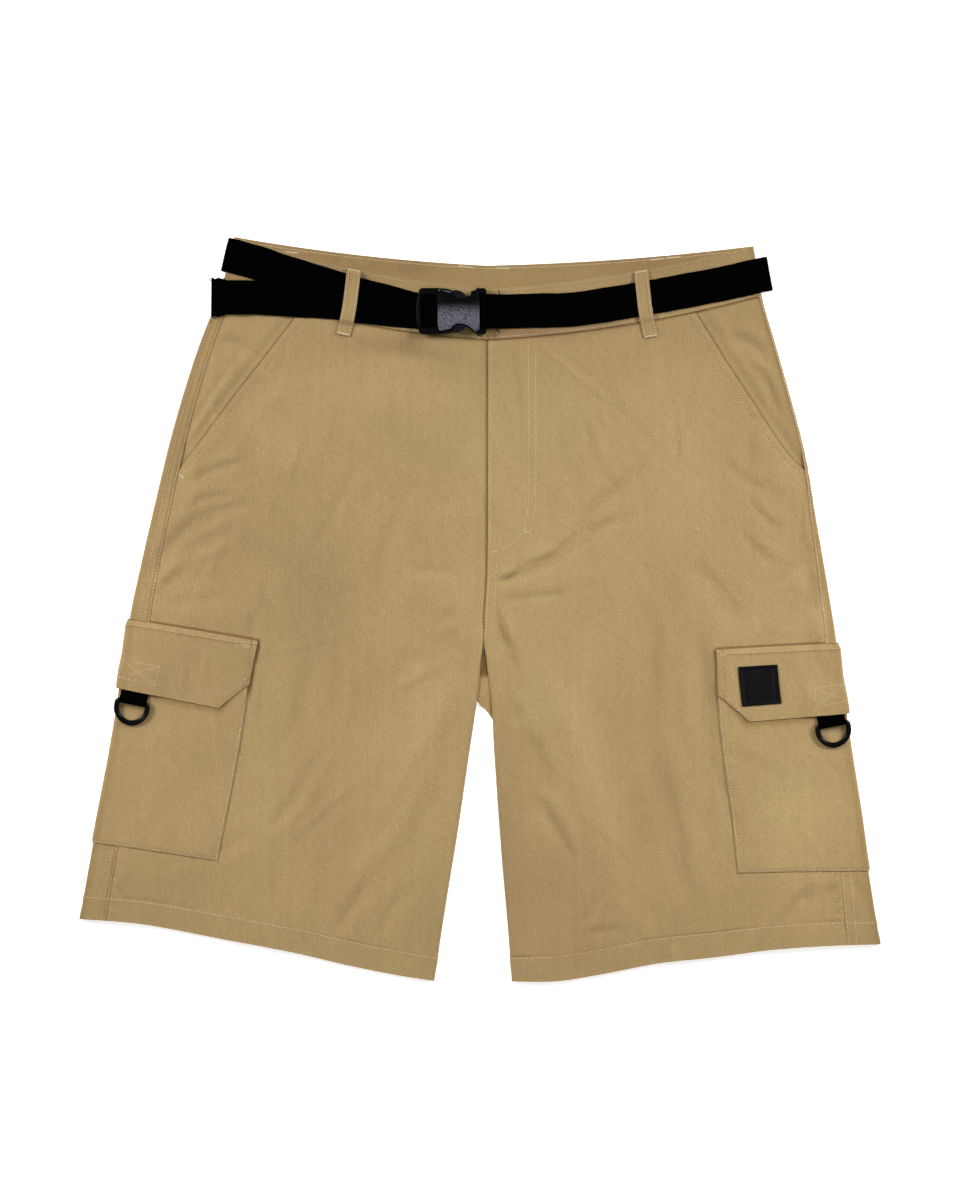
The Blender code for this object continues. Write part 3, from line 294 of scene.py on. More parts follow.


# %% [markdown]
# ## Creases and worn waves
#
# Washed cotton never lies smooth. Long soft creases run from the crotch and the side seams, and the cloth
# between them rolls a little. Each crease here is a shallow trough with a weaker ridge beside it, tapered
# at both ends and slightly bent. The main ones are listed, and many faint ones are drawn at random.
# One field of heights moves the panels and everything sewn on them by the same amount, so no layer cuts
# through the next.

# %% A field of creases
# (x, y, x, y, bend, half width, depth) in mm
FRONT_CREASES = [
    (-289, 17, -222, 56, 4, 6, -1), (-282, 43, -226, 91, 3, 6, 0.9), (-277, 17, -212, 74, 3, 6, 0.8),
    (-273, 4, -223, 10, 0, 5, 0.5), (-267, 78, -236, 122, 0, 7, -0.5), (-191, -32, -191, -119, 0, 4, 0.35),
    (-147, -40, -158, -136, -3, 8, 1), (-144, -129, -180, -190, 3, 5, 1.3),
    (-175, -190, -178, -268, 0, 5, 0.45), (-118, 43, -124, -80, 0, 9, 0.6), (-136, 8, -138, -62, 0, 6, 0.4),
    (-16, -40, -112, -246, 6, 11, -1.6), (-44, -115, -98, -216, 3, 7, 1.2),
    (-97, -239, -126, -283, 0, 5, 1), (-68, -244, -88, -286, 0, 6, 0.9), (-44, -48, -37, -66, 0, 5, 0.9),
    (-74, -71, -40, -52, 2, 5, -0.7), (-61, 8, -9, -71, 0, 18, 1.2), (-114, 165, -9, 95, -6, 26, 1.6),
    (-158, 113, -201, 165, 0, 14, -0.8), (-109, 225, -9, 216, 0, 8, 0.7), (-218, 60, -158, 30, 0, 12, 0.6),
    (-186, 8, -186, -27, 0, 6, 0.8), (-131, -202, -142, -276, 0, 7, 0.45), (-9, 165, -35, 78, 0, 10, 0.6),
    (-210, 148, -158, 200, 4, 9, -0.6), (-83, 148, -74, 78, 0, 8, 0.4), (-341, -221, -320, -207, 0, 4, 0.8),
    (15, 25, 46, 32, -1, 3.2, 0.9), (44, 30, 72, 46, 2, 4, 1.4), (72, 46, 140, 122, 4, 7, 1),
    (58, 38, 128, 82, 3, 5, 1.1), (16, 22, 34, 35, -2, 2.6, 0.8),
    (17, 7, 79, 14, 0, 3.5, 0.6), (19, -7, 29, -38, -3, 3.5, 0.9), (28, -36, 24, -119, 0, 8, 0.8),
    (24, -76, 33, -99, 0, 5, 0.8), (153, -3, 150, -141, -2, 6, 0.9), (149, -132, 158, -180, 0, 6, 0.7),
    (190, -20, 198, -134, 2, 7, 1.1), (198, -128, 217, -169, 0, 6, 0.6), (158, -125, 184, -259, -4, 8, 1.5),
    (175, -18, 187, -115, 0, 7, -0.8), (42, -110, 60, -158, 0, 7, 1.1), (49, -165, 80, -221, 2, 5.5, 1.3),
    (57, -53, 124, -259, 6, 14, -1.7), (72, -27, 70, -141, 0, 7, 0.5), (108, -246, 89, -279, 0, 3.5, 0.8),
    (86, -284, 128, -279, 0, 3.5, 0.5), (271, -256, 312, -245, 0, 7, 0.6), (324, -234, 340, -256, 0, 4, 1),
    (299, 58, 252, 17, 0, 5, 1), (309, 34, 245, -36, 2, 7, 1), (280, 78, 294, -10, 0, 6, 0.6),
    (238, 165, 276, 95, 0, 14, -1.2), (52, 117, 105, 165, 3, 12, 0.5), (96, 161, 149, 222, 4, 13, 0.45),
    (105, 122, 158, 183, -3, 10, -0.35), (22, 20, 118, 27, 4, 6, -0.3), (192, 43, 229, -27, 0, 10, 0.7),
    (232, -14, 184, 43, 0, 7, 0.6), (192, 244, 223, 265, 0, 4, 0.5), (210, 78, 184, 8, 0, 9, 0.5),
    (-258, -40, -260, -73, 0, 3, -0.35), (-240, -36, -241, -77, 0, 3, -0.45),
    (254, -40, 250, -90, 0, 5, -0.3), (276, -45, 290, -84, 0, 4, -0.35),
    (14, 2, 26, -32, -2.5, 3.2, 1.3), (17, -14, 34, -52, -3, 5, 0.8), (30, 30, 62, 44, 2, 4, 0.7),
    (-20, -2, -52, -14, 2, 4.5, 0.7), (-24, -26, -66, -44, 3, 6, 0.7), (-16, 28, -62, 34, -2, 5, 0.5),
    (-252, 110, -206, 128, 3, 4, 0.8), (-256, 88, -214, 98, 4, 4, 0.7), (-248, 66, -200, 92, 5, 5, 0.7),
    (218, 238, 252, 222, 2, 5, 0.9), (248, 204, 262, 170, 0, 5, 0.8), (-228, 236, -200, 222, 3, 5, 0.9),
    (-240, 200, -222, 150, 0, 6, -0.6), (-212, 262, -196, 246, 0, 5, 0.6), (236, 96, 262, 70, -3, 3.5, 0.8),
    (226, 70, 258, 40, -3, 4, 0.7), (214, 130, 250, 104, -4, 5, 0.6),
]
BACK_CREASES = [
    (-10, -20, -120, 60, 8, 10, 1.1), (-12, -60, -100, -250, -8, 12, 1.2), (10, -25, 130, 70, -8, 10, 1),
    (16, -70, 95, -260, 8, 13, 1.3), (-200, 150, -90, 190, 5, 10, 0.7), (190, 160, 80, 200, -5, 10, 0.7),
    (-240, -20, -160, 30, 4, 8, 0.9), (250, -10, 170, 40, -4, 8, 0.9), (-150, -60, -160, -240, 3, 8, 0.8),
    (140, -50, 170, -230, -3, 9, 0.9), (-60, 230, -40, 120, 3, 8, 0.7), (70, 225, 50, 110, -3, 7, 0.7),
    (-30, 40, -110, 95, 3, 6, 0.8), (35, 50, 120, 110, -3, 6, 0.8), (-200, -60, -215, -200, 2, 7, 0.7),
    (215, -80, 225, -220, -2, 7, 0.7), (-60, -180, -80, -300, 2, 6, 0.8), (60, -170, 70, -290, -2, 6, 0.7),
]
# (wavelength, direction in degrees, phase, height) of the cloth's slow rolls, in mm
SLOW_ROLLS = [(148, 20, 0.4, 0.3), (97, 112, 2.1, 0.25), (71, 15, 4, 0.2), (53, 150, 1.2, 0.12),
              (31, 5, 5.2, 0.05)]
RING_SPOTS = {"right": (-304, -88), "left": (308, -107)}
CREASE_GAIN, ROLL_GAIN, FRONT_RANGE, BACK_RANGE = 1.9, 1.6, (-1.9, 3.4), (-2.0, 0.1)
CLEAR_OF_FOLD, CLEAR_RING = 14 * MM, 38


def small_creases(count, seed):
    """Many faint short creases, most of them nearly straight down the leg."""
    sizes = random.Random(seed)
    made = []
    for _ in range(count):
        x, y, lean = sizes.uniform(-330, 330), sizes.uniform(-290, 240), math.radians(sizes.gauss(0, 24))
        length, depth = sizes.uniform(35, 120), sizes.uniform(0.1, 0.42) * sizes.choice((1, 1, -1))
        made.append((x, y, x + length * math.sin(lean), y - length * math.cos(lean), sizes.uniform(-4, 4),
                     sizes.uniform(2.5, 6.5), depth))
    return made


FRONT_CREASES += small_creases(230, 21)
BACK_CREASES += small_creases(110, 22)


def crease_height(table, x, y):
    """Sum of the creases of a table at places in plan, in mm."""
    total = np.zeros_like(x)
    for x0, y0, x1, y1, bend, half, depth in table:
        length = math.hypot(x1 - x0, y1 - y0)
        ahead_x, ahead_y = (x1 - x0) / length, (y1 - y0) / length
        share = ((x - x0) * ahead_x + (y - y0) * ahead_y) / length
        across = (y - y0) * ahead_x - (x - x0) * ahead_y - 4 * bend * share * (1 - share)
        taper = ease((share + 0.12) / 0.4) * ease((1.12 - share) / 0.4)
        trough = bell(across / half)
        ridge = 0.45 * bell((across - 1.9 * half) / (1.3 * half))
        total -= depth * taper * (trough - ridge)
    return total


def slow_roll(x, y):
    """Height of the slow rolls at places in plan, in mm."""
    total = np.zeros_like(x)
    for wavelength, direction, phase, height in SLOW_ROLLS:
        ahead = x * math.cos(math.radians(direction)) + y * math.sin(math.radians(direction))
        total += height * np.sin(2 * math.pi * ahead / wavelength + phase)
    return total


def relief(leg, row, around):
    """Height of creases and rolls over the skin, which fade out at the folds, in metres."""
    point = skin_point(leg, row, around) / MM
    x, y = point[..., 0], point[..., 1]
    front = CREASE_GAIN * crease_height(FRONT_CREASES, x, y) + ROLL_GAIN * slow_roll(x, y)
    front = np.clip(front, *FRONT_RANGE)
    from_ends = np.minimum(np.abs(around), length_round(leg, True, row) - np.abs(around))
    front = front + 1.0 * ease(from_ends / (60 * MM)) * ease(row - 1.2)
    if leg == "left":
        front = front + 1.7 * bell((x - 26) / 14) * bell((y + 88) / 26)
    near_ring = ease((CLEAR_RING - np.hypot(x - RING_SPOTS[leg][0], y - RING_SPOTS[leg][1])) / 16)
    front = front * (1 - near_ring) - 0.1 * near_ring
    back = np.clip(crease_height(BACK_CREASES, x, y) + slow_roll(-x, y) - 0.8, *BACK_RANGE)
    in_front = around >= 0
    height = np.where(in_front, front, back)
    clear_fold = ease((np.abs(around) - FOLD_ARC) / CLEAR_OF_FOLD)
    from_middle = np.where(in_front, length_round(leg, True, row), length_round(leg, False, row))
    from_middle = from_middle - np.abs(around)
    roll = np.where(in_front, inner_roll(True, row), inner_roll(False, row))
    clear_inner = 1 - roll * (1 - ease((from_middle - FOLD_ARC) / CLEAR_OF_FOLD))
    under_belt = 0.1 + 0.9 * ease((row - WAIST_SEAM) / 0.45)
    return height * clear_fold * clear_inner * under_belt * MM


# %% [markdown]
# ## Puckers and grooves at seams
#
# Thread pulls cloth short, so it ripples along a seam, in small waves that die away within a centimetre.
# The stitches also sink in, which leaves a thin groove. Both are heights added near a stitched line, and
# the mesh has rows or columns along those lines to carry them.

# %% Puckers and grooves
PUCKER_WAVES, GROOVE_WIDTH = (13.7, 9.1), 0.45
GROOVE_SIDES = (-0.9 * MM, 0.0, 0.9 * MM)


def pucker(along, away, reach=7.0, height=0.16, seed=0.0, lean=0.0):
    """Ripples along a stitched line: along and away are in metres, reach and height in mm."""
    place = along / MM + lean * away / MM
    drift = seed + 0.9 * np.sin(place / 31 + seed)
    long_wave = np.sin(2 * math.pi * place / PUCKER_WAVES[0] + drift)
    short_wave = np.sin(2 * math.pi * place / PUCKER_WAVES[1] + 2.3 * drift)
    wave = 0.6 * long_wave + 0.4 * short_wave
    uneven = 0.6 + 0.4 * np.sin(place / 43 + 3 * seed)
    return height * MM * wave * uneven * bell(away / MM / reach)


def groove(away, depth=0.2):
    """The thin groove that a row of stitches pulls into the cloth."""
    return -depth * MM * bell(away / MM / GROOVE_WIDTH)


def spread_between(controls, step):
    """Columns through the control columns with none further apart than a step: rows x columns."""
    made = []
    for first, second in zip(controls[:-1], controls[1:]):
        count = max(1, math.ceil(float(np.abs(second - first).max()) / step))
        made += [first + (second - first) * k / count for k in range(count)]
    return np.stack(made + [controls[-1]], axis=1)


def rows_through(leg, marks, step):
    """Rows down a leg through the marks, none further apart than a step."""
    made = []
    for first, second in zip(marks[:-1], marks[1:]):
        fine = np.linspace(first, second, 60)
        side, middle, _ = section(leg, True, fine)
        travelled = np.concatenate([[0], np.cumsum(np.maximum(gaps(side), gaps(middle)))])
        count = max(1, math.ceil(travelled[-1] / step))
        made.append(np.interp(np.arange(count) * travelled[-1] / count, travelled, fine))
    return np.concatenate(made + [[marks[-1]]])


# %% [markdown]
# ## Cloth as a closed shell
#
# A cloth piece is a grid with a wall: the grid is extruded once, and each point of both faces is moved to
# its place. A Bevel modifier rounds the rim, so a seam between two pieces reads as a soft line. The map
# named weave holds real lengths across and down the cloth, and carries the twill.

# %% Make a shell from two grids of points
SHARP_ANGLE = math.radians(42)


def finish_mesh(name, bm, look):
    """Turn a bmesh into a smooth object at the origin, its faces outwards."""
    bmesh.ops.recalc_face_normals(bm, faces=bm.faces)
    if bm.calc_volume(signed=True) < 0:
        bmesh.ops.reverse_faces(bm, faces=bm.faces)
    mesh = bpy.data.meshes.new(name)
    bm.to_mesh(mesh)
    bm.free()
    mesh.shade_smooth()
    mesh.set_sharp_from_angle(angle=SHARP_ANGLE)
    mesh.materials.append(look)
    made = bpy.data.objects.new(name, mesh)
    bpy.context.scene.collection.objects.link(made)
    return made


def round_rim(piece, width):
    """Round the edges of a piece's rim, which turn by more than 40 degrees."""
    bevel = piece.modifiers.new("rounded rim", "BEVEL")
    bevel.width = width
    bevel.segments = 2
    bevel.limit_method = "ANGLE"
    bevel.angle_limit = math.radians(40)
    bevel.harden_normals = False


# (x, y, half width, half height, paler or darker, pinker or greener) of the cloth's soft tones, in mm. The
# dark spots along the belt's lower edge, under the buckle and inside the back band are painted shadow; the
# others tint the cloth in patches.
TONE_AND_SHADOW_SPOTS = [
    (-146, 43, 26, 80, -0.05, 0), (-48, 70, 38, 28, -0.045, 0), (-152, -150, 16, 42, -0.05, 0),
    (165, 0, 16, 42, -0.04, 0), (158, -150, 14, 48, -0.04, 0), (72, -246, 42, 60, -0.045, 0.9),
    (-100, -50, 40, 40, -0.03, 0), (-208, 170, 20, 40, -0.035, 0), (232, 190, 20, 40, -0.035, 0.3),
    (-80, -130, 45, 110, 0.035, 0), (95, -110, 28, 90, 0.04, 0), (190, 150, 60, 70, 0.04, 0),
    (-120, 190, 60, 40, 0.02, 0), (275, -175, 45, 50, 0.045, -0.5), (-114, -167, 36, 80, 0, 1),
    (150, -140, 50, 80, 0, 0.45), (-262, 43, 45, 60, -0.01, 0.5), (249, 60, 45, 80, 0, 0.5),
    (-92, 233, 38, 9, -0.06, 0.9), (60, 238, 60, 8, -0.05, 0.6), (26, 157, 110, 60, 0, -0.4),
    (-165, 15, 100, 105, -0.14, 0), (115, -40, 75, 80, -0.06, 0), (-268, -62, 48, 42, -0.08, 0.2),
    (-240, 125, 48, 60, -0.06, 0), (14, -200, 26, 130, -0.15, 0.3), (290, -215, 60, 90, 0.13, 0),
    (-38, -290, 20, 50, -0.07, 0), (-30, 213, 24, 16, -0.08, 0), (-110, 300, 80, 15, -0.13, 0.4),
    (150, 302, 60, 14, -0.13, 0.3), (262, 170, 26, 70, -0.06, 0),
    (-62, 232, 13, 10, -0.2, 0.3), (-22, 238, 24, 5, -0.2, 0.3), (50, 241, 42, 3.5, -0.25, 0.5),
    (108, 247.5, 28, 4, -0.3, 0.5), (-56, 297, 14, 6, -0.16, 0.2), (52, -80, 30, 35, 0, -0.5),
    (-184, -132, 25, 110, 0, -0.3), (-52, -255, 20, 80, -0.02, -0.4),
]


def tone_and_shade_at(points):
    """Brightness and pinkness of the cloth at points, the brightness with painted shadows and painted crease
    shade in it: the front only, 0 underneath.
    """
    made = np.zeros((len(points), 3), np.float32)
    x, y = points[:, 0] / MM, points[:, 1] / MM
    for across, up, half_x, half_y, light, pink in TONE_AND_SHADOW_SPOTS:
        spot = bell((x - across) / half_x) * bell((y - up) / half_y)
        made[:, 0] += light * spot
        made[:, 1] += pink * spot
    # Painted crease shade: troughs darker and ridges paler.
    made[:, 0] += 0.03 * np.clip(crease_height(FRONT_CREASES, x, y), -1.2, 1.2)
    return made * ease((points[:, 2:] - 2.5 * MM) / MM).astype(np.float32)


def shell(name, outer, inner, look, rim=0.4 * MM, wear=None, inner_wear=0.0, squared=False):
    """A closed wall between two grids of points, rows x columns x 3; a squared weave follows the grid."""
    rows, columns = outer.shape[:2]
    bm = bmesh.new()
    bmesh.ops.create_grid(bm, x_segments=columns - 1, y_segments=rows - 1, size=1)
    copied = bmesh.ops.extrude_face_region(bm, geom=bm.faces[:], use_keep_orig=True)
    inside = {item for item in copied["geom"] if isinstance(item, bmesh.types.BMVert)}
    outer = np.concatenate([outer[..., :2], np.maximum(outer[..., 2:], 0)], axis=-1)
    grid_place = np.zeros(len(bm.verts), int)
    is_inside = np.zeros(len(bm.verts), bool)
    for number, vert in enumerate(bm.verts):
        column = round((vert.co.x + 1) / 2 * (columns - 1))
        row = round((vert.co.y + 1) / 2 * (rows - 1))
        grid_place[number] = row * columns + column
        is_inside[number] = vert in inside
        vert.co = (inner if vert in inside else outer)[row, column]
    made = finish_mesh(name, bm, look)
    across, down = run_to(outer, 1), run_to(outer)
    if squared:
        weave = np.stack([across - across.mean(), -down], axis=-1)
    else:
        corner = outer[0, 0]
        facing = np.cross(outer[0, 1] - corner, outer[1, 0] - corner) @ (corner - inner[0, 0])
        turned = -1 if facing > 0 else 1
        weave = np.stack([outer[:, :1, 0] + across * turned, outer[:1, :, 1] - down], axis=-1)
    weave = weave.reshape(-1, 2)
    loops = np.zeros(len(made.data.loops), int)
    made.data.loops.foreach_get("vertex_index", loops)
    layer = made.data.uv_layers.new(name="weave")
    layer.data.foreach_set("uv", weave[grid_place[loops]].ravel())
    # On the outer face wear holds paler strips above 0 and painted shade below 0; inner faces take only
    # painted shade.
    outer_wear_and_shade = np.zeros(rows * columns) if wear is None else wear.reshape(-1)
    attribute = made.data.attributes.new("wear", "FLOAT", "POINT")
    inner_shade_values = np.broadcast_to(inner_wear, (rows, columns)).reshape(-1)
    both = np.where(is_inside, inner_shade_values[grid_place], outer_wear_and_shade[grid_place])
    attribute.data.foreach_set("value", both.astype(np.float32))
    if not squared:
        spots = made.data.attributes.new("tone_and_shade", "FLOAT_VECTOR", "POINT")
        spots.data.foreach_set("vector", tone_and_shade_at(outer.reshape(-1, 3)[grid_place]).ravel())
    round_rim(made, rim)
    return made


def dress(piece, node, body="garment"):
    """Let a piece stand for a CAD node and move with its body."""
    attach(piece, body)
    if node:
        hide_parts(node)
    return piece


def declare_cloth(piece, outer):
    """Say what the piece was cut to: its flat width, length and area, measured along the cloth."""
    width = float(gaps(outer, 1).sum(axis=1).max())
    length = float(gaps(outer).sum(axis=0).max())
    first = np.cross(outer[1:, :-1] - outer[:-1, :-1], outer[:-1, 1:] - outer[:-1, :-1])
    second = np.cross(outer[1:, :-1] - outer[1:, 1:], outer[:-1, 1:] - outer[1:, 1:])
    area = float(np.linalg.norm(first, axis=-1).sum() + np.linalg.norm(second, axis=-1).sum()) / 2
    area = min(area, width * length)
    print(f"{piece.name}: {width * 1000:.0f} x {length * 1000:.0f} mm, {area * 1e4:.0f} square cm")


# %% [markdown]
# ## Khaki twill
#
# Twill is a diagonal weave in thick cotton. Close to, it shows fine slanted ribs; further off, a mottled
# surface with slightly thick and thin yarns, paler along the seams. The ribs are a wave on the weave map,
# the yarns two stretched noises. The wear attribute lifts the colour along edges, and below 0 it
# is painted shade that darkens and warms seam lines and hollows; the tone_and_shade attribute adds soft
# tones, painted shadows and painted crease shade.

# %% Material helpers
WAVE_LENGTH = 0.314  # metres from crest to crest of a Wave texture at a scale of 1
RIB_PITCH, RIB_SLANT = 0.0019, math.radians(-38)


def new_material(name, **surface):
    """A node material with the shader's own sockets set by name: the material, its tree, its shader."""
    made = bpy.data.materials.new(name)
    made.use_nodes = True
    shader = made.node_tree.nodes["Principled BSDF"]
    for socket, value in surface.items():
        shader.inputs[socket.replace("_", " ")].default_value = value
    return made, made.node_tree, shader


def add_node(tree, kind, place=None, **sizes):
    """Add a shader node of a kind, read at a place, with its sockets set by name."""
    made = tree.nodes.new("ShaderNode" + kind)
    for name, value in sizes.items():
        made.inputs[name.replace("_", " ")].default_value = value
    if place is not None:
        tree.links.new(place, made.inputs["Vector"])
    return made


def maths(tree, operation, first, second=0.0, third=0.0):
    """A Math node on sockets or numbers, and its result."""
    made = tree.nodes.new("ShaderNodeMath")
    made.operation = operation
    for socket, value in zip(made.inputs, (first, second, third)):
        if hasattr(value, "node"):
            tree.links.new(value, socket)
        else:
            socket.default_value = value
    return made.outputs[0]


def on_colour(tree, operation, colour, by, socket):
    """A colour scaled or multiplied by what reaches a socket."""
    made = tree.nodes.new("ShaderNodeVectorMath")
    made.operation = operation
    tree.links.new(colour, made.inputs[0])
    tree.links.new(by, made.inputs[socket])
    return made.outputs[0]


def weave_map(tree):
    """The map that follows a piece's cloth."""
    made = tree.nodes.new("ShaderNodeUVMap")
    made.uv_map = "weave"
    return made.outputs[0]


def own_place(tree):
    """Places in space, as the piece has them."""
    return tree.nodes.new("ShaderNodeTexCoord").outputs["Object"]


def painted(tree, name, output):
    """A value that the mesh carries at its points."""
    made = tree.nodes.new("ShaderNodeAttribute")
    made.attribute_name = name
    return made.outputs[output]


def stretched_noise(tree, place, scale, detail=2.0):
    """Noise on coordinates that are stretched first, so that its grains lie along a yarn."""
    mapping = add_node(tree, "Mapping", place, Scale=scale)
    made = add_node(tree, "TexNoise", mapping.outputs[0], Scale=1.0, Detail=detail, Roughness=0.55)
    return made.outputs[0]


def ramp(tree, source, *stops):
    """A colour ramp over a source, through (position, colour) stops."""
    made = tree.nodes.new("ShaderNodeValToRGB")
    elements = made.color_ramp.elements
    for number, (position, colour) in enumerate(stops):
        stop = elements[number] if number < 2 else elements.new(position)
        stop.position = position
        stop.color = (*colour, 1)
    tree.links.new(source, made.inputs[0])
    return made.outputs[0]


def bumpy(tree, shader, height, strength, depth):
    """Let a height roughen the shader's surface, to a depth in metres."""
    bump = add_node(tree, "Bump", Strength=strength, Distance=depth)
    tree.links.new(height, bump.inputs["Height"])
    tree.links.new(bump.outputs[0], shader.inputs["Normal"])


def twill(name, colour, worn_colour):
    """Cotton twill with slanted ribs, uneven yarns, paler strips along seams, and painted shade that darkens
    and warms seam edges.
    """
    made, tree, shader = new_material(name, Roughness=0.92, Sheen_Weight=0.12, Sheen_Roughness=0.5,
                                      Specular_IOR_Level=0.25)
    place, where = weave_map(tree), own_place(tree)
    slant = add_node(tree, "Mapping", place, Rotation=(0, 0, RIB_SLANT)).outputs[0]
    ribs = add_node(tree, "TexWave", slant, Scale=WAVE_LENGTH / RIB_PITCH, Distortion=0.7, Detail=2.0,
                    Detail_Scale=1.5).outputs["Fac"]
    warp = stretched_noise(tree, place, (1300, 110, 1))
    weft = stretched_noise(tree, place, (130, 1100, 1))
    shares = [
        (stretched_noise(tree, place, (560, 560, 1), 3.0), 0.62), (warp, 0.5), (weft, 0.44),
        (stretched_noise(tree, slant, (620, 70, 1)), 0.26), (ribs, 0.17),
        (stretched_noise(tree, where, (13, 13, 13), 3.0), 0.14),
        (stretched_noise(tree, where, (70, 70, 70), 3.0), 0.1),
        (stretched_noise(tree, place, (230, 8, 1), 3.0), 0.2),
    ]
    tone = -0.5
    for source, share in shares:
        tone = maths(tree, "MULTIPLY_ADD", source, share, tone)
    # Paler strips above 0, painted shade below 0.
    wear = painted(tree, "wear", "Fac")
    rubbed = maths(tree, "MAXIMUM", wear, 0.0)
    shaded = maths(tree, "MINIMUM", wear, 0.0)
    tone = maths(tree, "MULTIPLY_ADD", rubbed, 0.06, tone)
    dark = [part * 0.68 for part in colour]
    cloth = ramp(tree, tone, (0.25, dark), (1.0, worn_colour), (0.72, colour))
    # Soft tones, painted shadows and painted crease shade, from the tone_and_shade attribute.
    tone_and_shade = tree.nodes.new("ShaderNodeSeparateXYZ")
    tree.links.new(painted(tree, "tone_and_shade", "Vector"), tone_and_shade.inputs[0])
    light, pink = tone_and_shade.outputs[0], tone_and_shade.outputs[1]
    # Painted shade: the colour is darkened where wear is below 0, and scaled by the painted brightness.
    shade = maths(tree, "MULTIPLY_ADD", shaded, 0.72, 1.0)
    darkened = on_colour(tree, "SCALE", cloth, maths(tree, "MULTIPLY_ADD", shade, light, shade), "Scale")
    # Painted shade is also made warmer: green and blue fall faster in it. Pinkness tints the colour.
    blush = add_node(tree, "CombineXYZ", X=1.0)
    for number, warmth, pinkness in ((1, 0.26, -0.075), (2, 0.56, -0.03)):
        warm = maths(tree, "MULTIPLY_ADD", shaded, warmth, 1.0)
        tree.links.new(maths(tree, "MULTIPLY_ADD", pink, pinkness, warm), blush.inputs[number])
    tree.links.new(on_colour(tree, "MULTIPLY", darkened, blush.outputs[0], 1), shader.inputs["Base Color"])
    height = maths(tree, "MULTIPLY_ADD", ribs, 0.5, maths(tree, "ADD", warp, weft))
    bumpy(tree, shader, height, 0.5, 0.00016)
    return made


KHAKI = twill("khaki twill", (0.39, 0.269, 0.117), (0.46, 0.33, 0.155))


# %% Make, dress and declare a sheet
def sheet_piece(name, stands_for, outer, inner, rests_on, look=KHAKI, slot="twill", **finish):
    """A sheet between two skins: a shell that stands for its CAD node and is declared as cloth."""
    made = shell(name, outer, inner, look, **finish)
    dress(made, stands_for)
    declare_cloth(made, outer)


# %% [markdown]
# ## Front and back panels
#
# Four panels make the legs. A front runs from the slant pocket and the side seam to the fly and the inner
# leg; a back comes round the side fold and under to the centre seam. The columns follow the pocket's
# slant, the side seam and the stitched lines, and the rows follow the hem's stitching, so that puckers and
# grooves fall where the sewing is.

# %% Panels
PANEL_START = 1.003
HEM_DEPTH = 21.8 * MM
HEM_MARK = 8.68
SLANT_STITCH = 7.4 * MM
SEAM_STITCHES = (1.3 * MM, 8.7 * MM)
FINE_STEP, BACK_STEP = 2.6 * MM, 4.0 * MM
SEAM_SLIT = 0.05 * MM
PLACKET_WIDTH, PLACKET_RISE, HEM_RISE = 44 * MM, 0.35 * MM, 0.3 * MM
RUBBED_WIDTH, NEEDLE_WIDTH, DARK_FROM = 2.2 * MM, 0.6 * MM, -0.03


def seam_at(leg, row):
    """Distance of the side seam round from the side fold."""
    return through(SIDE_SEAM[leg], row) * MM


def front_start(leg, row):
    """Where a front panel starts: on the slant pocket's edge, or below it on the side seam."""
    seam = seam_at(leg, row) + SEAM_SLIT
    slant = np.maximum(through(SLANT_EDGE[leg], row) * MM, seam)
    return np.where(row < SLANT_END[leg], slant, seam)


def fly_lap(row):
    """How far the right front runs on under the left front."""
    return FLY_LAP * ease((FLY_LAP_END - row) / FLY_FADE_ROWS)


def fly_dip(row):
    """How far the right front lies below the left one where they lap."""
    return (PANEL_WALL + SEAM_GAP) * ease((FLY_DIP_END - row) / FLY_FADE_ROWS)


def hem_rows(leg, base, share):
    """Rows that keep the hem's stitched line parallel to the hem, whatever the leg's taper."""
    side, middle, _ = section(leg, True, np.array([POCKET_BOTTOM, HEM], float))
    side_length = abs(side[1, 1] - side[0, 1])
    middle_length = abs(middle[1, 1] - middle[0, 1])
    depth = HEM_DEPTH / (side_length + (middle_length - side_length) * share)
    mark = HEM - depth
    above = POCKET_BOTTOM + (base - POCKET_BOTTOM) / (HEM_MARK - POCKET_BOTTOM) * (mark - POCKET_BOTTOM)
    below = mark + (base - HEM_MARK) / (HEM - HEM_MARK) * depth
    return np.where(base <= POCKET_BOTTOM, base, np.where(base <= HEM_MARK, above, below))


def length_up(points):
    """Length up each column of a grid from its last row."""
    return run_to(points[::-1])[::-1]


def hem_sewing(around, from_hem, seed):
    """A hem turned up twice: a little thicker, rippled, and grooved where it is sewn."""
    band = ease((HEM_DEPTH + 0.7 * MM - from_hem) / (1.4 * MM))
    ticks = pucker(around, from_hem - HEM_DEPTH * 0.5, reach=13, height=0.4, seed=seed, lean=0.5)
    along_row = pucker(around, from_hem - HEM_DEPTH, 9, 0.34, seed + 1.1)
    return HEM_RISE * band + ticks * band + along_row + groove(from_hem - HEM_DEPTH, 0.35)


def seam_wear(*aways):
    """A paler strip where cloth rubs, within a few millimetres of seams."""
    total = 0
    for away in aways:
        total = total + bell(away / RUBBED_WIDTH)
    return np.clip(total, 0, 1)


def edge_shade(away, width=0.7, depth=0.5):
    """Painted shade: a dark line in the hollow right at a sewn edge, strongest on the edge, 0 past a width in
    mm.
    """
    return -depth * np.clip(1 - away / (width * MM), 0, 1)


def stitch_groove_shade(away, depth=0.4):
    """Painted shade: a dark line in the groove under a row of stitches."""
    return -depth * bell(away / NEEDLE_WIDTH)


def fold_shade(around):
    """Painted shade: cloth that rolls away at the side fold is darkened, as it turns from the lamps."""
    return -0.2 * ease(1 - (around - 0.5 * FOLD_ARC) / (2.2 * FOLD_ARC))


def darker_of(wear, *shades):
    """Worn strips, with painted shade lines in their place where there are any."""
    shade = sum(shades)
    return np.where(shade < DARK_FROM, np.maximum(shade, -1), wear)


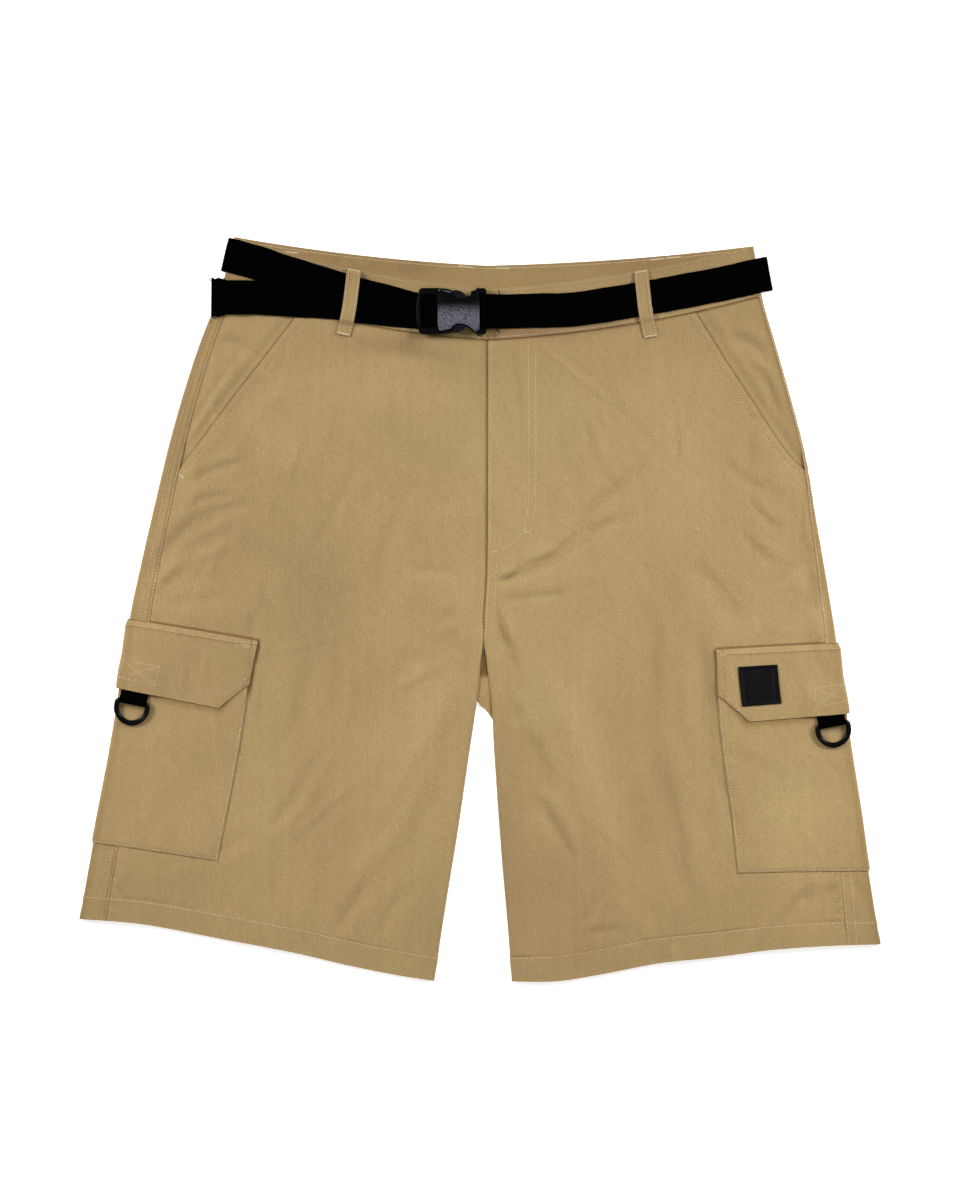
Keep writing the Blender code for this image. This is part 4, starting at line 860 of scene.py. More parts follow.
PANEL_MARKS = [PANEL_START, 1.03, 1.2, HIP, SEAT, FLY_END, CROTCH, 5.96, 5.98, FLAP_TOP, FLAP_BOTTOM,
               POCKET_BOTTOM, HEM_MARK - 0.014, HEM_MARK, HEM_MARK + 0.014, 8.97, HEM]


def front_panel(leg):
    """A front from the slant pocket and the side seam to the fly and the inner leg."""
    base = rows_through(leg, PANEL_MARKS, FINE_STEP)
    start = front_start(leg, base)
    end = length_round(leg, True, base)
    controls = [start, start + 0.5 * MM, start + 1.2 * MM]
    controls += [start + SLANT_STITCH + side for side in GROOVE_SIDES]
    controls += [through(POCKET_FRONT_EDGE[leg], np.maximum(base, FLAP_TOP)) * MM, end - 12 * MM]
    roll_controls = [end - FOLD_ARC, end - FOLD_ARC * 0.66, end - FOLD_ARC * 0.33, end - SEAM_SLIT]
    if leg == "right":
        edge = end - SEAM_SLIT + fly_lap(base)
        rolled = inner_roll(True, base)
        roll_controls[1:] = [end - (1.7 + 0.7 * rolled) * MM, end - (0.9 + 0.3 * rolled) * MM]
        roll_controls += [edge - np.maximum(fly_lap(base), 0.2 * MM), edge]
    around = spread_between(controls + roll_controls, FINE_STEP)
    row = hem_rows(leg, base[:, None], around / end[:, None])
    lift = relief(leg, row, around)
    from_hem = length_up(skin_point(leg, row, around))
    from_top = from_hem[:1] - from_hem
    from_start = around - front_start(leg, row)
    from_middle = length_round(leg, True, row) - around
    lift = lift + hem_sewing(around, from_hem, 1.0 if leg == "right" else 2.6)
    lift = lift + pucker(around * 0.62, from_top, 13, 0.34, 4.0)
    on_slant = ease((SLANT_END[leg] - row) / 0.05)
    lift = lift + pucker(from_hem * 1.25, from_start - SLANT_STITCH * 0.55, 4.5, 0.75, 2.2, lean=0.9)
    lift = lift + groove(from_start - SLANT_STITCH) * on_slant
    if leg == "right":
        lift = lift - fly_dip(row) * ease((11 * MM - from_middle) / (9 * MM))
    else:
        placket = ease((PLACKET_WIDTH - from_middle) / (4 * MM)) * ease((FLY_END - row) / 0.2)
        lift = lift + PLACKET_RISE * placket + pucker(from_hem, from_middle - 1.8 * MM, 5, 0.14, 3.1)
    wear = seam_wear(from_start, from_hem, from_top)
    # Painted shadows beside and above the flap, and painted shade lines at the slant edge, the waist, the hem
    # row and the right front's fly edge.
    past_flap = around - through(FLAP_FRONT_EDGE[leg], np.clip(row, FLAP_TOP, FLAP_BOTTOM)) * MM
    beside_flap = -0.62 * ease(1 - past_flap / (3.2 * MM)) * ease((past_flap + 3 * MM) / MM)
    beside_flap = beside_flap * ease((row - 6.0) / 0.06) * ease((6.95 - row) / 0.25)
    above_flap = -0.55 * ease((row - 5.962) / 0.016) * ease((6.04 - row) / 0.02)
    above_flap = above_flap * (past_flap < 1 * MM)
    shade = edge_shade(from_start) * np.where(row < SLANT_END[leg], 1.0, 0.8 if leg == "right" else 0.4)
    shade = shade + edge_shade(from_top, 1.6, 0.75) + stitch_groove_shade(from_hem - HEM_DEPTH)
    shade = shade + beside_flap + above_flap + stitch_groove_shade(from_start - SLANT_STITCH) * on_slant
    if leg == "right":
        shade = shade + edge_shade(np.maximum(from_middle, 0), 1.0, 0.8)
    wear = darker_of(wear, shade, fold_shade(around))
    outer, inner = two_skins(leg, row, around, lift, PANEL_WALL)
    sheet_piece("cloth_front_" + leg, "front_" + leg, outer, inner, ["cloth_back_" + leg], wear=wear)


def back_panel(leg):
    """A back from the side seam, round the side fold, to the centre seam and the inner leg."""
    base = rows_through(leg, PANEL_MARKS, BACK_STEP)
    seam = seam_at(leg, base) - SEAM_SLIT
    end = -length_round(leg, False, base)
    fold = [base * 0 + FOLD_ARC * share for share in (1, 0.5, 0, -0.5, -1)]
    near, far = SEAM_STITCHES
    insets = (0.6 * MM, near - 0.7 * MM, near, far - 0.7 * MM, far, far + 0.7 * MM)
    controls = [seam] + [seam - inset for inset in insets if leg == "right"] + fold
    controls += [base * 0 - 41 * MM, base * 0 - 80 * MM, base * 0 - 122 * MM]
    controls += [end + FOLD_ARC, end + FOLD_ARC * 0.66, end + FOLD_ARC * 0.33, end + SEAM_SLIT]
    around = spread_between(controls, BACK_STEP)
    row = hem_rows(leg, base[:, None], np.abs(around) / -end[:, None])
    from_hem = length_up(skin_point(leg, row, around))
    under = ease((-around - FOLD_ARC) / (6 * MM))
    lift = relief(leg, row, around) - 0.3 * MM * under
    lift = lift + hem_sewing(around, from_hem, 5.0) * (1 - 1.2 * under)
    from_seam = seam_at(leg, row) - around
    lift = lift + pucker(from_hem, from_seam - 5 * MM, 5, 0.26, 1.4) * (1 - under)
    wear = seam_wear(from_seam, from_hem, around * 1.6)
    # Painted shade lines at the side seam, under its stitch rows and the hem row, and at the side fold.
    shade = edge_shade(from_seam) * (0.8 if leg == "right" else 0.3)
    for inset in SEAM_STITCHES if leg == "right" else ():
        shade = shade + stitch_groove_shade(from_seam - inset)
    wear = darker_of(wear, shade + stitch_groove_shade(from_hem - HEM_DEPTH), fold_shade(around) * (1 - under))
    outer, inner = two_skins(leg, row, around, lift, PANEL_WALL)
    x, y = outer[..., 0] / MM, outer[..., 1] / MM
    # Painted shade on the inner face: dark in the gap between the legs at the crotch, and a little darker all
    # over.
    inside = -0.8 * ease((y + 61) / 5) * ease((60 - y) / 20)
    inside = inside * ease((14 - np.abs(x - 3)) / 4)
    inside = inside - 0.55 * ease((x - 9 - (y + 88) * 0.05) / 2) * ease((y + 108) / 10) - 0.12
    sheet_piece("cloth_back_" + leg, "back_" + leg, outer, inner, [], wear=wear, inner_wear=inside)


for leg in LEGS:
    back_panel(leg)
    front_panel(leg)


# %% [markdown]
# ## Facings and waistband
#
# A facing is the pocket cloth that shows in a slant opening; its edge is tucked under the front. The
# waistband is a stiffer double strip round the top, and its back length shows its inside behind the belt.

# %% Facings and waistband
def pocket_facing(leg):
    """The cloth that shows in the slant opening, tucked under the front panel's edge."""
    rows = rows_through(leg, [PANEL_START, HIP, SLANT_END[leg] - 0.03], FINE_STEP)
    slant = front_start(leg, rows)
    start = seam_at(leg, rows) + SEAM_SLIT
    shown = slant - 1.2 * MM - start
    controls = [start, start + np.minimum(1.2 * MM, shown * 0.4), start + shown, slant, slant + 10 * MM]
    around = spread_between(controls, FINE_STEP)
    row = rows[:, None] + around * 0
    past_slant = around - slant[:, None]
    drop = (PANEL_WALL + SEAM_GAP) * ease((past_slant + 13 * MM) / (9 * MM))
    dent = 0.5 * MM * bell((past_slant + 22 * MM) / (9 * MM)) * ease((2.2 - row) / 0.9)
    lift = relief(leg, row, around) - drop - dent
    outer, inner = two_skins(leg, row, around, lift, POCKET_WALL)
    # Painted shade only: lines at the slant edge, the facing's top and its seam, and at the side fold.
    shade = edge_shade(np.abs(past_slant), 1.4, 0.4) + edge_shade(row * 50 * MM - 50.2 * MM, 2.2, 0.6)
    shade = shade + edge_shade(around - start[:, None]) * (1 if leg == "right" else 0.3)
    sheet_piece("cloth_facing_" + leg, "pocket_facing_" + leg, outer, inner, ["cloth_back_" + leg],
                wear=darker_of(0, shade, fold_shade(around)))


def band_wave(row, around, seed):
    """A waistband's small waves between its sewn edges."""
    top = pucker(around, row * BAND_DEPTH, 9, 0.12, seed)
    bottom = pucker(around, (1 - row) * BAND_DEPTH, 10, 0.16, seed + 2)
    return top + bottom


BAND_MARKS = [TOP, 0.012, 0.025, 0.045, 0.065, 0.935, 0.955, 0.975, 0.988, 0.997]


def waistband_front(leg):
    """Half of the front waistband, from under the side fold to the centre front."""
    rows = rows_through(leg, BAND_MARKS, FINE_STEP)
    length = length_round(leg, True, rows) - SEAM_SLIT
    fold = [rows * 0 + FOLD_ARC * share for share in (-1, -0.6, -0.2, 0.2, 0.6, 1)]
    around = spread_between(fold + [length], FINE_STEP)
    row = rows[:, None] + around * 0
    lift = relief(leg, row, around) + band_wave(row, around, 0.7 if leg == "right" else 1.9)
    outer, inner = two_skins(leg, row, around, lift, BAND_WALL)
    wear = seam_wear(row * BAND_DEPTH, (1 - row) * BAND_DEPTH)
    # Painted shade: lines under the stitch rows, the belt's shadow across the band, a line at its foot, and
    # the side fold.
    shade = sum(stitch_groove_shade((row - sewn_row) * BAND_DEPTH) for sewn_row in BAND_STITCHES)
    under_belt = -0.22 * ease((row - 0.74) / 0.08) * ease((0.93 - row) / 0.08)
    foot = edge_shade((BAND_MARKS[-1] - row) * BAND_DEPTH, 0.6)
    wear = darker_of(wear, shade, foot, under_belt, fold_shade(around))
    sheet_piece("cloth_waistband_front_" + leg, "waistband_front_" + leg, outer, inner,
                ["cloth_waistband_back"], rim=0.6 * MM, wear=wear)


def waistband_back():
    """The back waistband, one length from side to side."""
    rows = rows_through("right", BAND_MARKS, FINE_STEP)
    halves = []
    for leg in LEGS:
        length = length_round(leg, False, rows)
        around = -spread_between([rows * 0 + FOLD_ARC + 0.1 * MM, length], FINE_STEP)
        row = rows[:, None] + around * 0
        lift = relief(leg, row, around) + band_wave(row, around, 3.3) * 0.6
        halves.append(two_skins(leg, row, around, lift, BAND_WALL))
    outer, inner = (np.concatenate([right, left[:, -2::-1]], axis=1) for right, left in zip(*halves))
    # Its inner face is a little darker, as painted shade.
    sheet_piece("cloth_waistband_back", "waistband_back", outer, inner, ["belt_webbing"],
                rim=0.6 * MM, inner_wear=-0.12)


for leg in LEGS:
    pocket_facing(leg)
    waistband_front(leg)
waistband_back()


# %% [markdown]
# ## Cargo pockets and flaps
#
# A patch pocket is sewn over the side seam and wraps round the side fold. Its flap has cut corners, is
# sewn down along its top, and stands over the pocket, so it throws a soft shadow; a painted shadow darkens
# the pocket under its lower edge too. Both follow the creases of the panel beneath, and ripple a little
# more of their own, upwards only.

# %% Pockets and flaps
def flap_lift(row, around):
    """Height of a flap's inner face over the panel: low at its sewn top, over pocket and tab below."""
    over_pocket = ease((row - FLAP_TOP) / (FLAP_DIP_ROW - FLAP_TOP))
    over_tab = ease((row - 6.55) / 0.32)
    inwards = ease((43 * MM - around) / (14 * MM))
    outwards = ease((around + 3.6 * MM) / (5 * MM))
    pocket = (POCKET_WALL + SEAM_GAP) * over_pocket
    return POCKET_GAP + pocket + TAB_BUMP * over_tab * inwards * outwards


def wrap_controls(front_edge, back_reach, sewn_at):
    """Control columns of a piece wrapped round the side fold, from its front edge to its back edge."""
    sewing = [front_edge - sewn_at + side * 0.8 for side in GROOVE_SIDES[::-1]]
    fold = [front_edge * 0 + FOLD_ARC * share for share in (1.2, 0.8, 0.4, 0, -0.4, -0.8, -1.2)]
    back = [front_edge * 0 - back_reach + sewn_at, front_edge * 0 - back_reach]
    return [front_edge, front_edge - 0.6 * MM] + sewing + fold + back


def cargo_pocket(leg):
    """A patch pocket over the side seam, wrapped round the side fold."""
    marks = [POCKET_TOP_ROW, FLAP_BOTTOM, 7.98, POCKET_FOOT_STITCH, 7.994, POCKET_BOTTOM]
    rows = rows_through(leg, marks, FINE_STEP)
    front_edge = through(POCKET_FRONT_EDGE[leg], rows) * MM
    around = spread_between(wrap_controls(front_edge, POCKET_BACK_REACH, POCKET_STITCH), FINE_STEP)
    row = rows[:, None] + around * 0
    from_bottom = length_up(skin_point(leg, row, around))
    from_edge = around[:, :1] - around
    ripple = pucker(from_bottom, from_edge, 8, 0.3, 1.7) + pucker(around, from_bottom, 9, 0.3, 4.4)
    near_edge = np.minimum(from_edge, from_bottom)
    full = ease(near_edge / (2.8 * MM))
    lift = relief(leg, row, around) + POCKET_GAP * (0.5 + 0.5 * full) + np.maximum(ripple + 0.06 * MM, 0)
    outer = skin(leg, row, around, lift + POCKET_WALL * (0.5 + 0.5 * full))
    inner = skin(leg, row, around, lift)
    wear = seam_wear(from_edge, from_bottom, around * 1.6)
    # Painted shadow under the flap's lower edge, and painted shade lines at the pocket's edges and stitch
    # row.
    cut_corner = ease((around - front_edge[:, None] + CHAMFER_WIDTH) / CHAMFER_WIDTH)
    below_flap = -0.4 * ease(1 - (row - FLAP_BOTTOM + 0.3 * cut_corner) / 0.075)
    shade = edge_shade(near_edge, 0.5, 0.45) + stitch_groove_shade(near_edge - POCKET_STITCH, 0.12)
    wear = darker_of(wear, shade, below_flap, fold_shade(around))
    sheet_piece("cloth_pocket_" + leg, "cargo_pocket_" + leg, outer, inner,
                ["cloth_front_" + leg, "cloth_back_" + leg], rim=0.45 * MM, wear=wear)


def flap_row(leg, share, around):
    """Row of a place on a flap: its rows rise towards the cut corners."""
    front_edge = through(FLAP_FRONT_EDGE[leg], FLAP_TOP + share) * MM
    from_edge = np.minimum(front_edge - around, around + FLAP_BACK_REACH)
    cut_away = np.clip(1 - from_edge / CHAMFER_WIDTH, 0, 1)
    return FLAP_TOP + share * (1 - CHAMFER_ROWS * cut_away)


def cargo_flap(leg):
    """A flap with cut corners, sewn over the pocket and wrapped round the side fold."""
    marks = [0.012, 0.024, 0.09, 0.105, FLAP_TOP_STITCH, 0.87, FLAP_FOOT_STITCH, 0.9]
    shares = np.unique(np.concatenate([np.linspace(0, 1, 24), marks]))
    front_edge = through(FLAP_FRONT_EDGE[leg], FLAP_TOP + shares) * MM
    controls = wrap_controls(front_edge, FLAP_BACK_REACH, FLAP_STITCH)
    front_corner = front_edge - CHAMFER_WIDTH
    back_corner = front_edge * 0 - FLAP_BACK_REACH + CHAMFER_WIDTH
    controls = controls[:5] + [front_corner] + controls[5:-2] + [back_corner, controls[-1]]
    around = spread_between(controls, FINE_STEP)
    row = flap_row(leg, shares[:, None], around)
    from_bottom = length_up(skin_point(leg, row, around))
    from_top = from_bottom[:1] - from_bottom
    from_edge = around[:, :1] - around
    ripple = pucker(from_bottom, from_edge, 7, 0.14, 2.4) + pucker(around, from_bottom, 8, 0.2, 0.4)
    ripple = ripple + pucker(around, from_top, 7, 0.16, 3.4)
    lift = relief(leg, row, around) + flap_lift(row, around) + np.maximum(ripple + 0.05 * MM, 0)
    near_edge = np.minimum(from_edge, from_bottom)
    lift = lift - 0.7 * MM * ease(1 - from_edge / (2.4 * MM)) * ease((row - 6.12) / 0.12)
    outer = skin(leg, row, around, lift + FLAP_WALL * (0.6 + 0.4 * ease(near_edge / (2 * MM))))
    inner = skin(leg, row, around, lift)
    wear = seam_wear(from_edge, from_bottom, from_top, around * 1.6)
    reach = shares[:, None] * FLAP_DEPTH
    # Painted shade: a dark line along the sewn top, and lines under the stitch rows.
    shade = edge_shade(from_top, 1.2, 0.8) + stitch_groove_shade(reach - FLAP_TOP_STITCH * FLAP_DEPTH, 0.45)
    shade = shade + stitch_groove_shade(reach - FLAP_FOOT_STITCH * FLAP_DEPTH, 0.2)
    wear = darker_of(wear, shade, stitch_groove_shade(from_edge - FLAP_STITCH), fold_shade(around))
    sheet_piece("cloth_flap_" + leg, "cargo_flap_" + leg, outer, inner, ["cloth_pocket_" + leg],
                rim=0.45 * MM, wear=wear)


for leg in LEGS:
    cargo_pocket(leg)
    cargo_flap(leg)

# %% [markdown]
# ## Belt loops
#
# A loop is a narrow folded strip, sewn to the band at both ends, that stands over the belt between.

# %% Belt loops
# (name, leg, distance at the top and at the bottom, end row, lift over the belt, the belt's rows)
BELT_LOOPS = [
    ("loop_front_right", "right", 108.6, 114.7, 1.27, 4.1, 0.05, 0.98),
    ("loop_front_left", "left", 101.4, 103.2, 1.32, 2.2, 0.17, 0.92),
    ("loop_side_right", "right", -53, -53, 1.15, 2.2, 0.06, 0.82),
    ("loop_back_right", "right", -205.5, -216.5, 1.15, 2.2, 0.13, 0.89),
    ("loop_back_left", "left", -220, -227, 1.15, 2.2, 0.13, 0.9),
    ("loop_side_left", "left", -78.5, -84.5, 1.15, 2.2, 0.17, 0.94),
]
LOOP_START, LOOP_STITCH, LOOP_PRESSED = 0.01, 0.7, 0.26 * MM


def loop_place(line, row, across):
    """Distance and height of places on a belt loop; across runs from -1 to 1."""
    _, _, top, bottom, end_row, lift, belt_from, belt_to = line
    from_top = row - LOOP_START
    around = (top + (bottom - top) * from_top / (end_row - LOOP_START)) * MM + across * LOOP_WIDTH / 2
    rise = ease(from_top / (belt_from + 0.04 - LOOP_START))
    fall = ease((belt_to + 0.12 - row) / 0.12)
    return around, SEAM_GAP + (lift * MM - SEAM_GAP) * rise * fall


for line in BELT_LOOPS:
    name, leg, end_row = line[0], line[1], line[4]
    rows = np.linspace(LOOP_START, end_row, 44)
    across = np.array([-1, -0.86, -0.72, -0.36, 0, 0.36, 0.72, 0.86, 1])
    row, side = np.meshgrid(rows, across, indexing="ij")
    around, height = loop_place(line, row, side)
    ridge = 0.12 * MM * bell((np.abs(side) - 0.9) / 0.12)
    wave = 0.1 * MM * np.sin(rows * 41)[:, None]
    face = height + LOOP_WALL + ridge + wave
    if line[2] < 0:
        face = np.minimum(face, BELT_REST - LOOP_PRESSED)
    outer, inner = skin(leg, row, around, face), skin(leg, row, around, height)
    # Paler edges, and painted shade lines under the stitch rows.
    wear = darker_of(np.abs(side) ** 6, stitch_groove_shade((np.abs(side) - LOOP_STITCH) * LOOP_WIDTH / 2, 0.25))
    sheet_piece("cloth_" + name, name, outer, inner, ["belt_webbing"], rim=0.35 * MM, wear=wear)

# %% [markdown]
# ## Webbing
#
# The belt is woven polyester tape. Its edges are little scallops where the filling yarn turns, and fine
# ribs run across it. The band is lofted along the belt's path at short steps, so the scallops are real;
# the ribs are bump on the weave map.

# %% Webbing material
TAPE_RIB_PITCH, TAPE_YARN_PITCH = 0.0014, 0.0011


def webbing_material():
    """Black woven tape: dull, with ribs across and finer yarns along it."""
    made, tree, shader = new_material("black webbing", Roughness=0.95, Specular_IOR_Level=0.0)
    weave = weave_map(tree)
    turned = add_node(tree, "Mapping", weave, Rotation=(0, 0, math.radians(90))).outputs[0]
    ribs = add_node(tree, "TexWave", turned, Scale=WAVE_LENGTH / TAPE_RIB_PITCH, Distortion=0.6,
                    Detail=2.0)
    yarns = add_node(tree, "TexWave", weave, Scale=WAVE_LENGTH / TAPE_YARN_PITCH, Distortion=0.4)
    fuzz = stretched_noise(tree, weave, (900, 900, 1), 3.0)
    height = maths(tree, "MULTIPLY_ADD", ribs.outputs["Fac"], 1.0, fuzz)
    height = maths(tree, "MULTIPLY_ADD", yarns.outputs["Fac"], 0.5, height)
    colour = ramp(tree, fuzz, (0.0, (0.0003, 0.0004, 0.0004)), (1.0, (0.0012, 0.0014, 0.0013)))
    tree.links.new(colour, shader.inputs["Base Color"])
    bumpy(tree, shader, height, 0.7, 0.0002)
    return made


BLACK_WEBBING = webbing_material()

# %% The belt's path
# (x, y, z) of the belt's middle line in mm; (x, y, heading in degrees) of its turns round the sides
BELT_FRONT, BELT_UNDER, TAPE_STEP = 9.1, 2.1, 0.65
SCALLOP_PITCH, SCALLOP_DEPTH, FRAY_LENGTH = 2.6, 0.4, 12.5
STRAP_FROM_BUCKLE = [
    (20.5, 259.5, 11), (14, 259.5, 11.1), (10.5, 259.5, 12.4), (7.4, 259.5, 14.2),
    (4.2, 259.5, 15.1), (1.7, 259.5, 14.2), (0.85, 259.5, 11.6), (1.5, 259.5, 9.7), (4, 259.5, 9.1),
    (22, 259.6, 9.1), (50, 260.4, 9.1), (79, 261.2, 9.1), (105, 264.7, 9.1),
    (140, 270.4, 9.1), (175, 276.8, 9.1), (210, 283.5, 9.1), (235, 289, 9.1),
]
STRAP_BACK = [
    (235, 291), (200, 288), (162, 285), (125, 282), (85, 279.5), (45, 278), (5, 278), (-40, 280),
    (-80, 283.5), (-120, 288.5), (-165, 296), (-200, 303.5),
]
STRAP_TO_BUCKLE = [
    (-204, 304.7, 9.8), (-193, 301.5, 10.9), (-178, 296, 11), (-160, 290.5, 11),
    (-120, 278, 11), (-100, 272.5, 11), (-80, 267.5, 11), (-64, 262.6, 11),
    (-56, 260.6, 11), (-52.5, 259.9, 11), (-50.5, 259.6, 11.5), (-48, 259.5, 12.7),
    (-45.8, 259.5, 13.75), (-41.6, 259.5, 13.75), (-39.3, 259.4, 12.7), (-38.5, 259.4, 11.2),
    (-39.3, 259.4, 9.6), (-41.5, 259.4, 9.1),
]
FIRST_TURN, SECOND_TURN = (249, 292.2, 10), (-218.9, 308.8, 167)
TAIL = [
    (-234.5, 272, 9.1), (-197, 271.7, 9.1), (-161, 269.7, 9.1), (-124, 267.3, 9.1),
    (-107.5, 264.9, 9.1), (-78, 261.4, 9.1), (-58, 259.6, 9.1), (-42.2, 259.2, 9.1),
]


def plan_across(points, flip=False, squared=lambda x: False):
    """The level directions across a run of the belt at its points; squared says where they stay on y."""
    made = []
    for number, point in enumerate(points):
        ahead = points[min(number + 1, len(points) - 1)]
        behind = points[max(number - 1, 0)]
        heading = Vector((ahead[0] - behind[0], ahead[1] - behind[1], 0))
        across = Vector((-heading.y, heading.x, 0)).normalized() * (-1 if flip else 1)
        made.append(Vector((0, 1, 0)) if heading.length < 2.5 or squared(point[0]) else across)
    return made


def turn_points(x, y, heading):
    """Half a turn of the belt round a side of the waistband, from the front layer to the under layer."""
    out = Vector((math.cos(math.radians(heading)), math.sin(math.radians(heading)), 0))
    radius = (BELT_FRONT - BELT_UNDER) / 2
    made = []
    for angle in np.linspace(0, math.pi, 13):
        height = (BELT_FRONT + BELT_UNDER) / 2 + radius * math.cos(angle)
        made.append(Vector((x, y, height)) + out * (radius * math.sin(angle)))
    return made, [Vector((-out.y, out.x, 0))] * len(made)


def strap_path():
    """Points and across directions of the strap: buckle, one side, back, other side, adjuster."""
    first_turn, first_across = turn_points(*FIRST_TURN)
    second_turn, second_across = turn_points(*SECOND_TURN)
    points = [Vector(point) for point in STRAP_FROM_BUCKLE] + first_turn
    points += [Vector((*point, BELT_UNDER)) for point in STRAP_BACK] + second_turn[::-1]
    points += [Vector(point) for point in STRAP_TO_BUCKLE]
    across = plan_across(STRAP_FROM_BUCKLE, squared=lambda x: x <= 30) + first_across
    across += plan_across(STRAP_BACK, flip=True) + [-side for side in second_across]
    across += plan_across(STRAP_TO_BUCKLE, squared=lambda x: x >= -54)
    return points, across


def resampled(points, across, step):
    """The path at even short steps, with its across directions and its lengths."""
    points, across = np.array(points), np.array(across)
    travelled = run_to(points)
    at = np.linspace(0, travelled[-1], math.ceil(travelled[-1] / step) + 1)
    line = np.stack([through(list(zip(travelled, points[:, k])), at) for k in range(3)], axis=1)
    sideways = np.stack([np.interp(at, travelled, across[:, k]) for k in range(3)], axis=1)
    return line, unit(sideways), at


def tape_skins(line, sideways, widths, half, wall, lift):
    """Upper and lower skin of a tape, from its line, half widths, half walls and lift in mm."""
    normal = unit(np.cross(sideways, unit(np.gradient(line, axis=0))))[:, None]
    middle = line[:, None] + sideways[:, None] * (widths[:, None] * half[:, None, None])
    middle = middle + normal * lift[..., None]
    return (middle + normal * wall[..., None]) * MM, (middle - normal * wall[..., None]) * MM


def belt_skins(points, across, ends, frayed=0.0):
    """Skins of the belt along a path in mm: scalloped edges, thin selvedges and a slightly uneven run."""
    line, sideways, at = resampled(points, across, TAPE_STEP)
    shares = np.array([-1, -0.975, -0.93, -0.8, -0.4, 0, 0.4, 0.8, 0.93, 0.975, 1])
    scallop = SCALLOP_DEPTH * np.abs(np.sin(math.pi * at / SCALLOP_PITCH)) - 0.36
    folded = frayed * ease((FRAY_LENGTH - at) / 2.5)
    scallop = scallop + folded * (1.7 + 0.6 * np.sin(at * 1.1 + 1) + 0.35 * np.sin(at * 3.1))
    uneven = 0.16 * np.sin(at / 9.7) + 0.12 * np.sin(at / 4.1 + 1)
    half = WEBBING_WIDTH / MM / 2 + 0.05 + scallop + uneven * 0.6
    wall = WEBBING_WALL / MM / 2 * np.array([0.35, 0.75, 0.95, 1, 1, 1, 1, 1, 0.95, 0.75, 0.35])
    wave = 0.1 * np.sin(at[:, None] / 21 + shares * 2.2) * ends(at, at[-1])[:, None]
    lift = wave + 0.6 * folded[:, None]
    return tape_skins(line, sideways, shares, half, wall * (1 + 0.8 * folded)[:, None], lift)


def clear_of_buckle(at, whole):
    """The strap waves only away from its two ends, where the buckle holds it flat."""
    return ease((at - 30) / 20) * ease((whole - 30 - at) / 20)


outer, inner = belt_skins(*strap_path(), clear_of_buckle)
sheet_piece("belt_webbing", "belt_strap", outer, inner,
            ["cloth_waistband_front_left", "cloth_waistband_front_right"],
            BLACK_WEBBING, "webbing", rim=0.15 * MM, squared=True)
tail_points = [Vector(point) for point in TAIL]
outer, inner = belt_skins(tail_points, plan_across(TAIL), lambda at, whole: at * 0 + 0.5, frayed=1.0)
sheet_piece("belt_tail_webbing", "belt_tail", outer, inner, ["cloth_waistband_front_right"],
            BLACK_WEBBING, "webbing", rim=0.15 * MM, squared=True)

# %% [markdown]
# ## Other finishes
#
# The buckle is grained moulded plastic, the D-rings are glossy coated wire, the patch is black leather
# with fine pores, and the thread is a paler cotton than the cloth.

# %% Plastic, metal, leather and thread
def grained(name, dark, light, roughness, scale, depth, specular):
    """A finish with a fine random grain in its colour and its surface."""
    made, tree, shader = new_material(name, Roughness=roughness, Specular_IOR_Level=specular)
    grain = stretched_noise(tree, own_place(tree), (scale, scale, scale), 4.0)
    tree.links.new(ramp(tree, grain, (0.35, dark), (0.7, light)), shader.inputs["Base Color"])
    bumpy(tree, shader, grain, 0.5, depth)
    return made


# name, dark and light grains, roughness, grains in a metre, depth, specular level
GREY_PLASTIC = grained("grained grey plastic", (0.0, 0.0, 0.001), (0.2, 0.196, 0.24),
                       0.5, 1250, 0.0001, 0.05)
PRONG_PLASTIC = grained("dark grey plastic", (0.003, 0.003, 0.004), (0.016, 0.015, 0.02),
                        0.5, 1300, 0.0001, 0.06)
BLACK_PLASTIC = grained("black plastic", (0.001, 0.001, 0.0013), (0.003, 0.003, 0.0036),
                        0.4, 1500, 0.00005, 0.06)
# A painted highlight: a pale plastic for a strip on the male half's shoulder, standing for a reflection.
HIGHLIGHT_PLASTIC = grained("plastic edge with painted highlight", (0.1, 0.1, 0.11), (0.24, 0.24, 0.25), 0.5, 900, 0.00005, 0.3)
RING_BLACK = grained("black coated wire", (0.001, 0.001, 0.0014), (0.002, 0.002, 0.0025),
                     0.24, 400, 0.00002, 0.13)
LEATHER = grained("black leather", (0.001, 0.001, 0.0015), (0.004, 0.004, 0.005), 0.6, 700, 0.0002, 0.1)
THREAD = grained("khaki thread", (0.62, 0.52, 0.33), (0.76, 0.67, 0.47), 0.8, 3000, 0.00005, 0.2)
DULL_THREAD = grained("dull khaki thread", (0.5, 0.41, 0.245), (0.64, 0.545, 0.35), 0.8, 3000, 0.00005, 0.2)


def shade_up(material, low, high):
    """Paint shade and sheen on a finish: darker towards high y and lighter towards low y, between two heights
    in mm.
    """
    tree = material.node_tree
    colour = tree.nodes["Principled BSDF"].inputs["Base Color"]
    plain = colour.links[0].from_socket
    parts = tree.nodes.new("ShaderNodeSeparateXYZ")
    tree.links.new(own_place(tree), parts.inputs[0])
    height = add_node(tree, "MapRange", From_Min=low * MM, From_Max=high * MM,
                      To_Min=1.3, To_Max=0.02)
    height.interpolation_type = "SMOOTHSTEP"
    tree.links.new(parts.outputs[1], height.inputs["Value"])
    tree.links.new(on_colour(tree, "SCALE", plain, height.outputs["Result"], "Scale"), colour)


# Painted light: the buckle's upper part shaded dark and its lower part lifted as a painted sheen.
shade_up(GREY_PLASTIC, 254.5, 268)

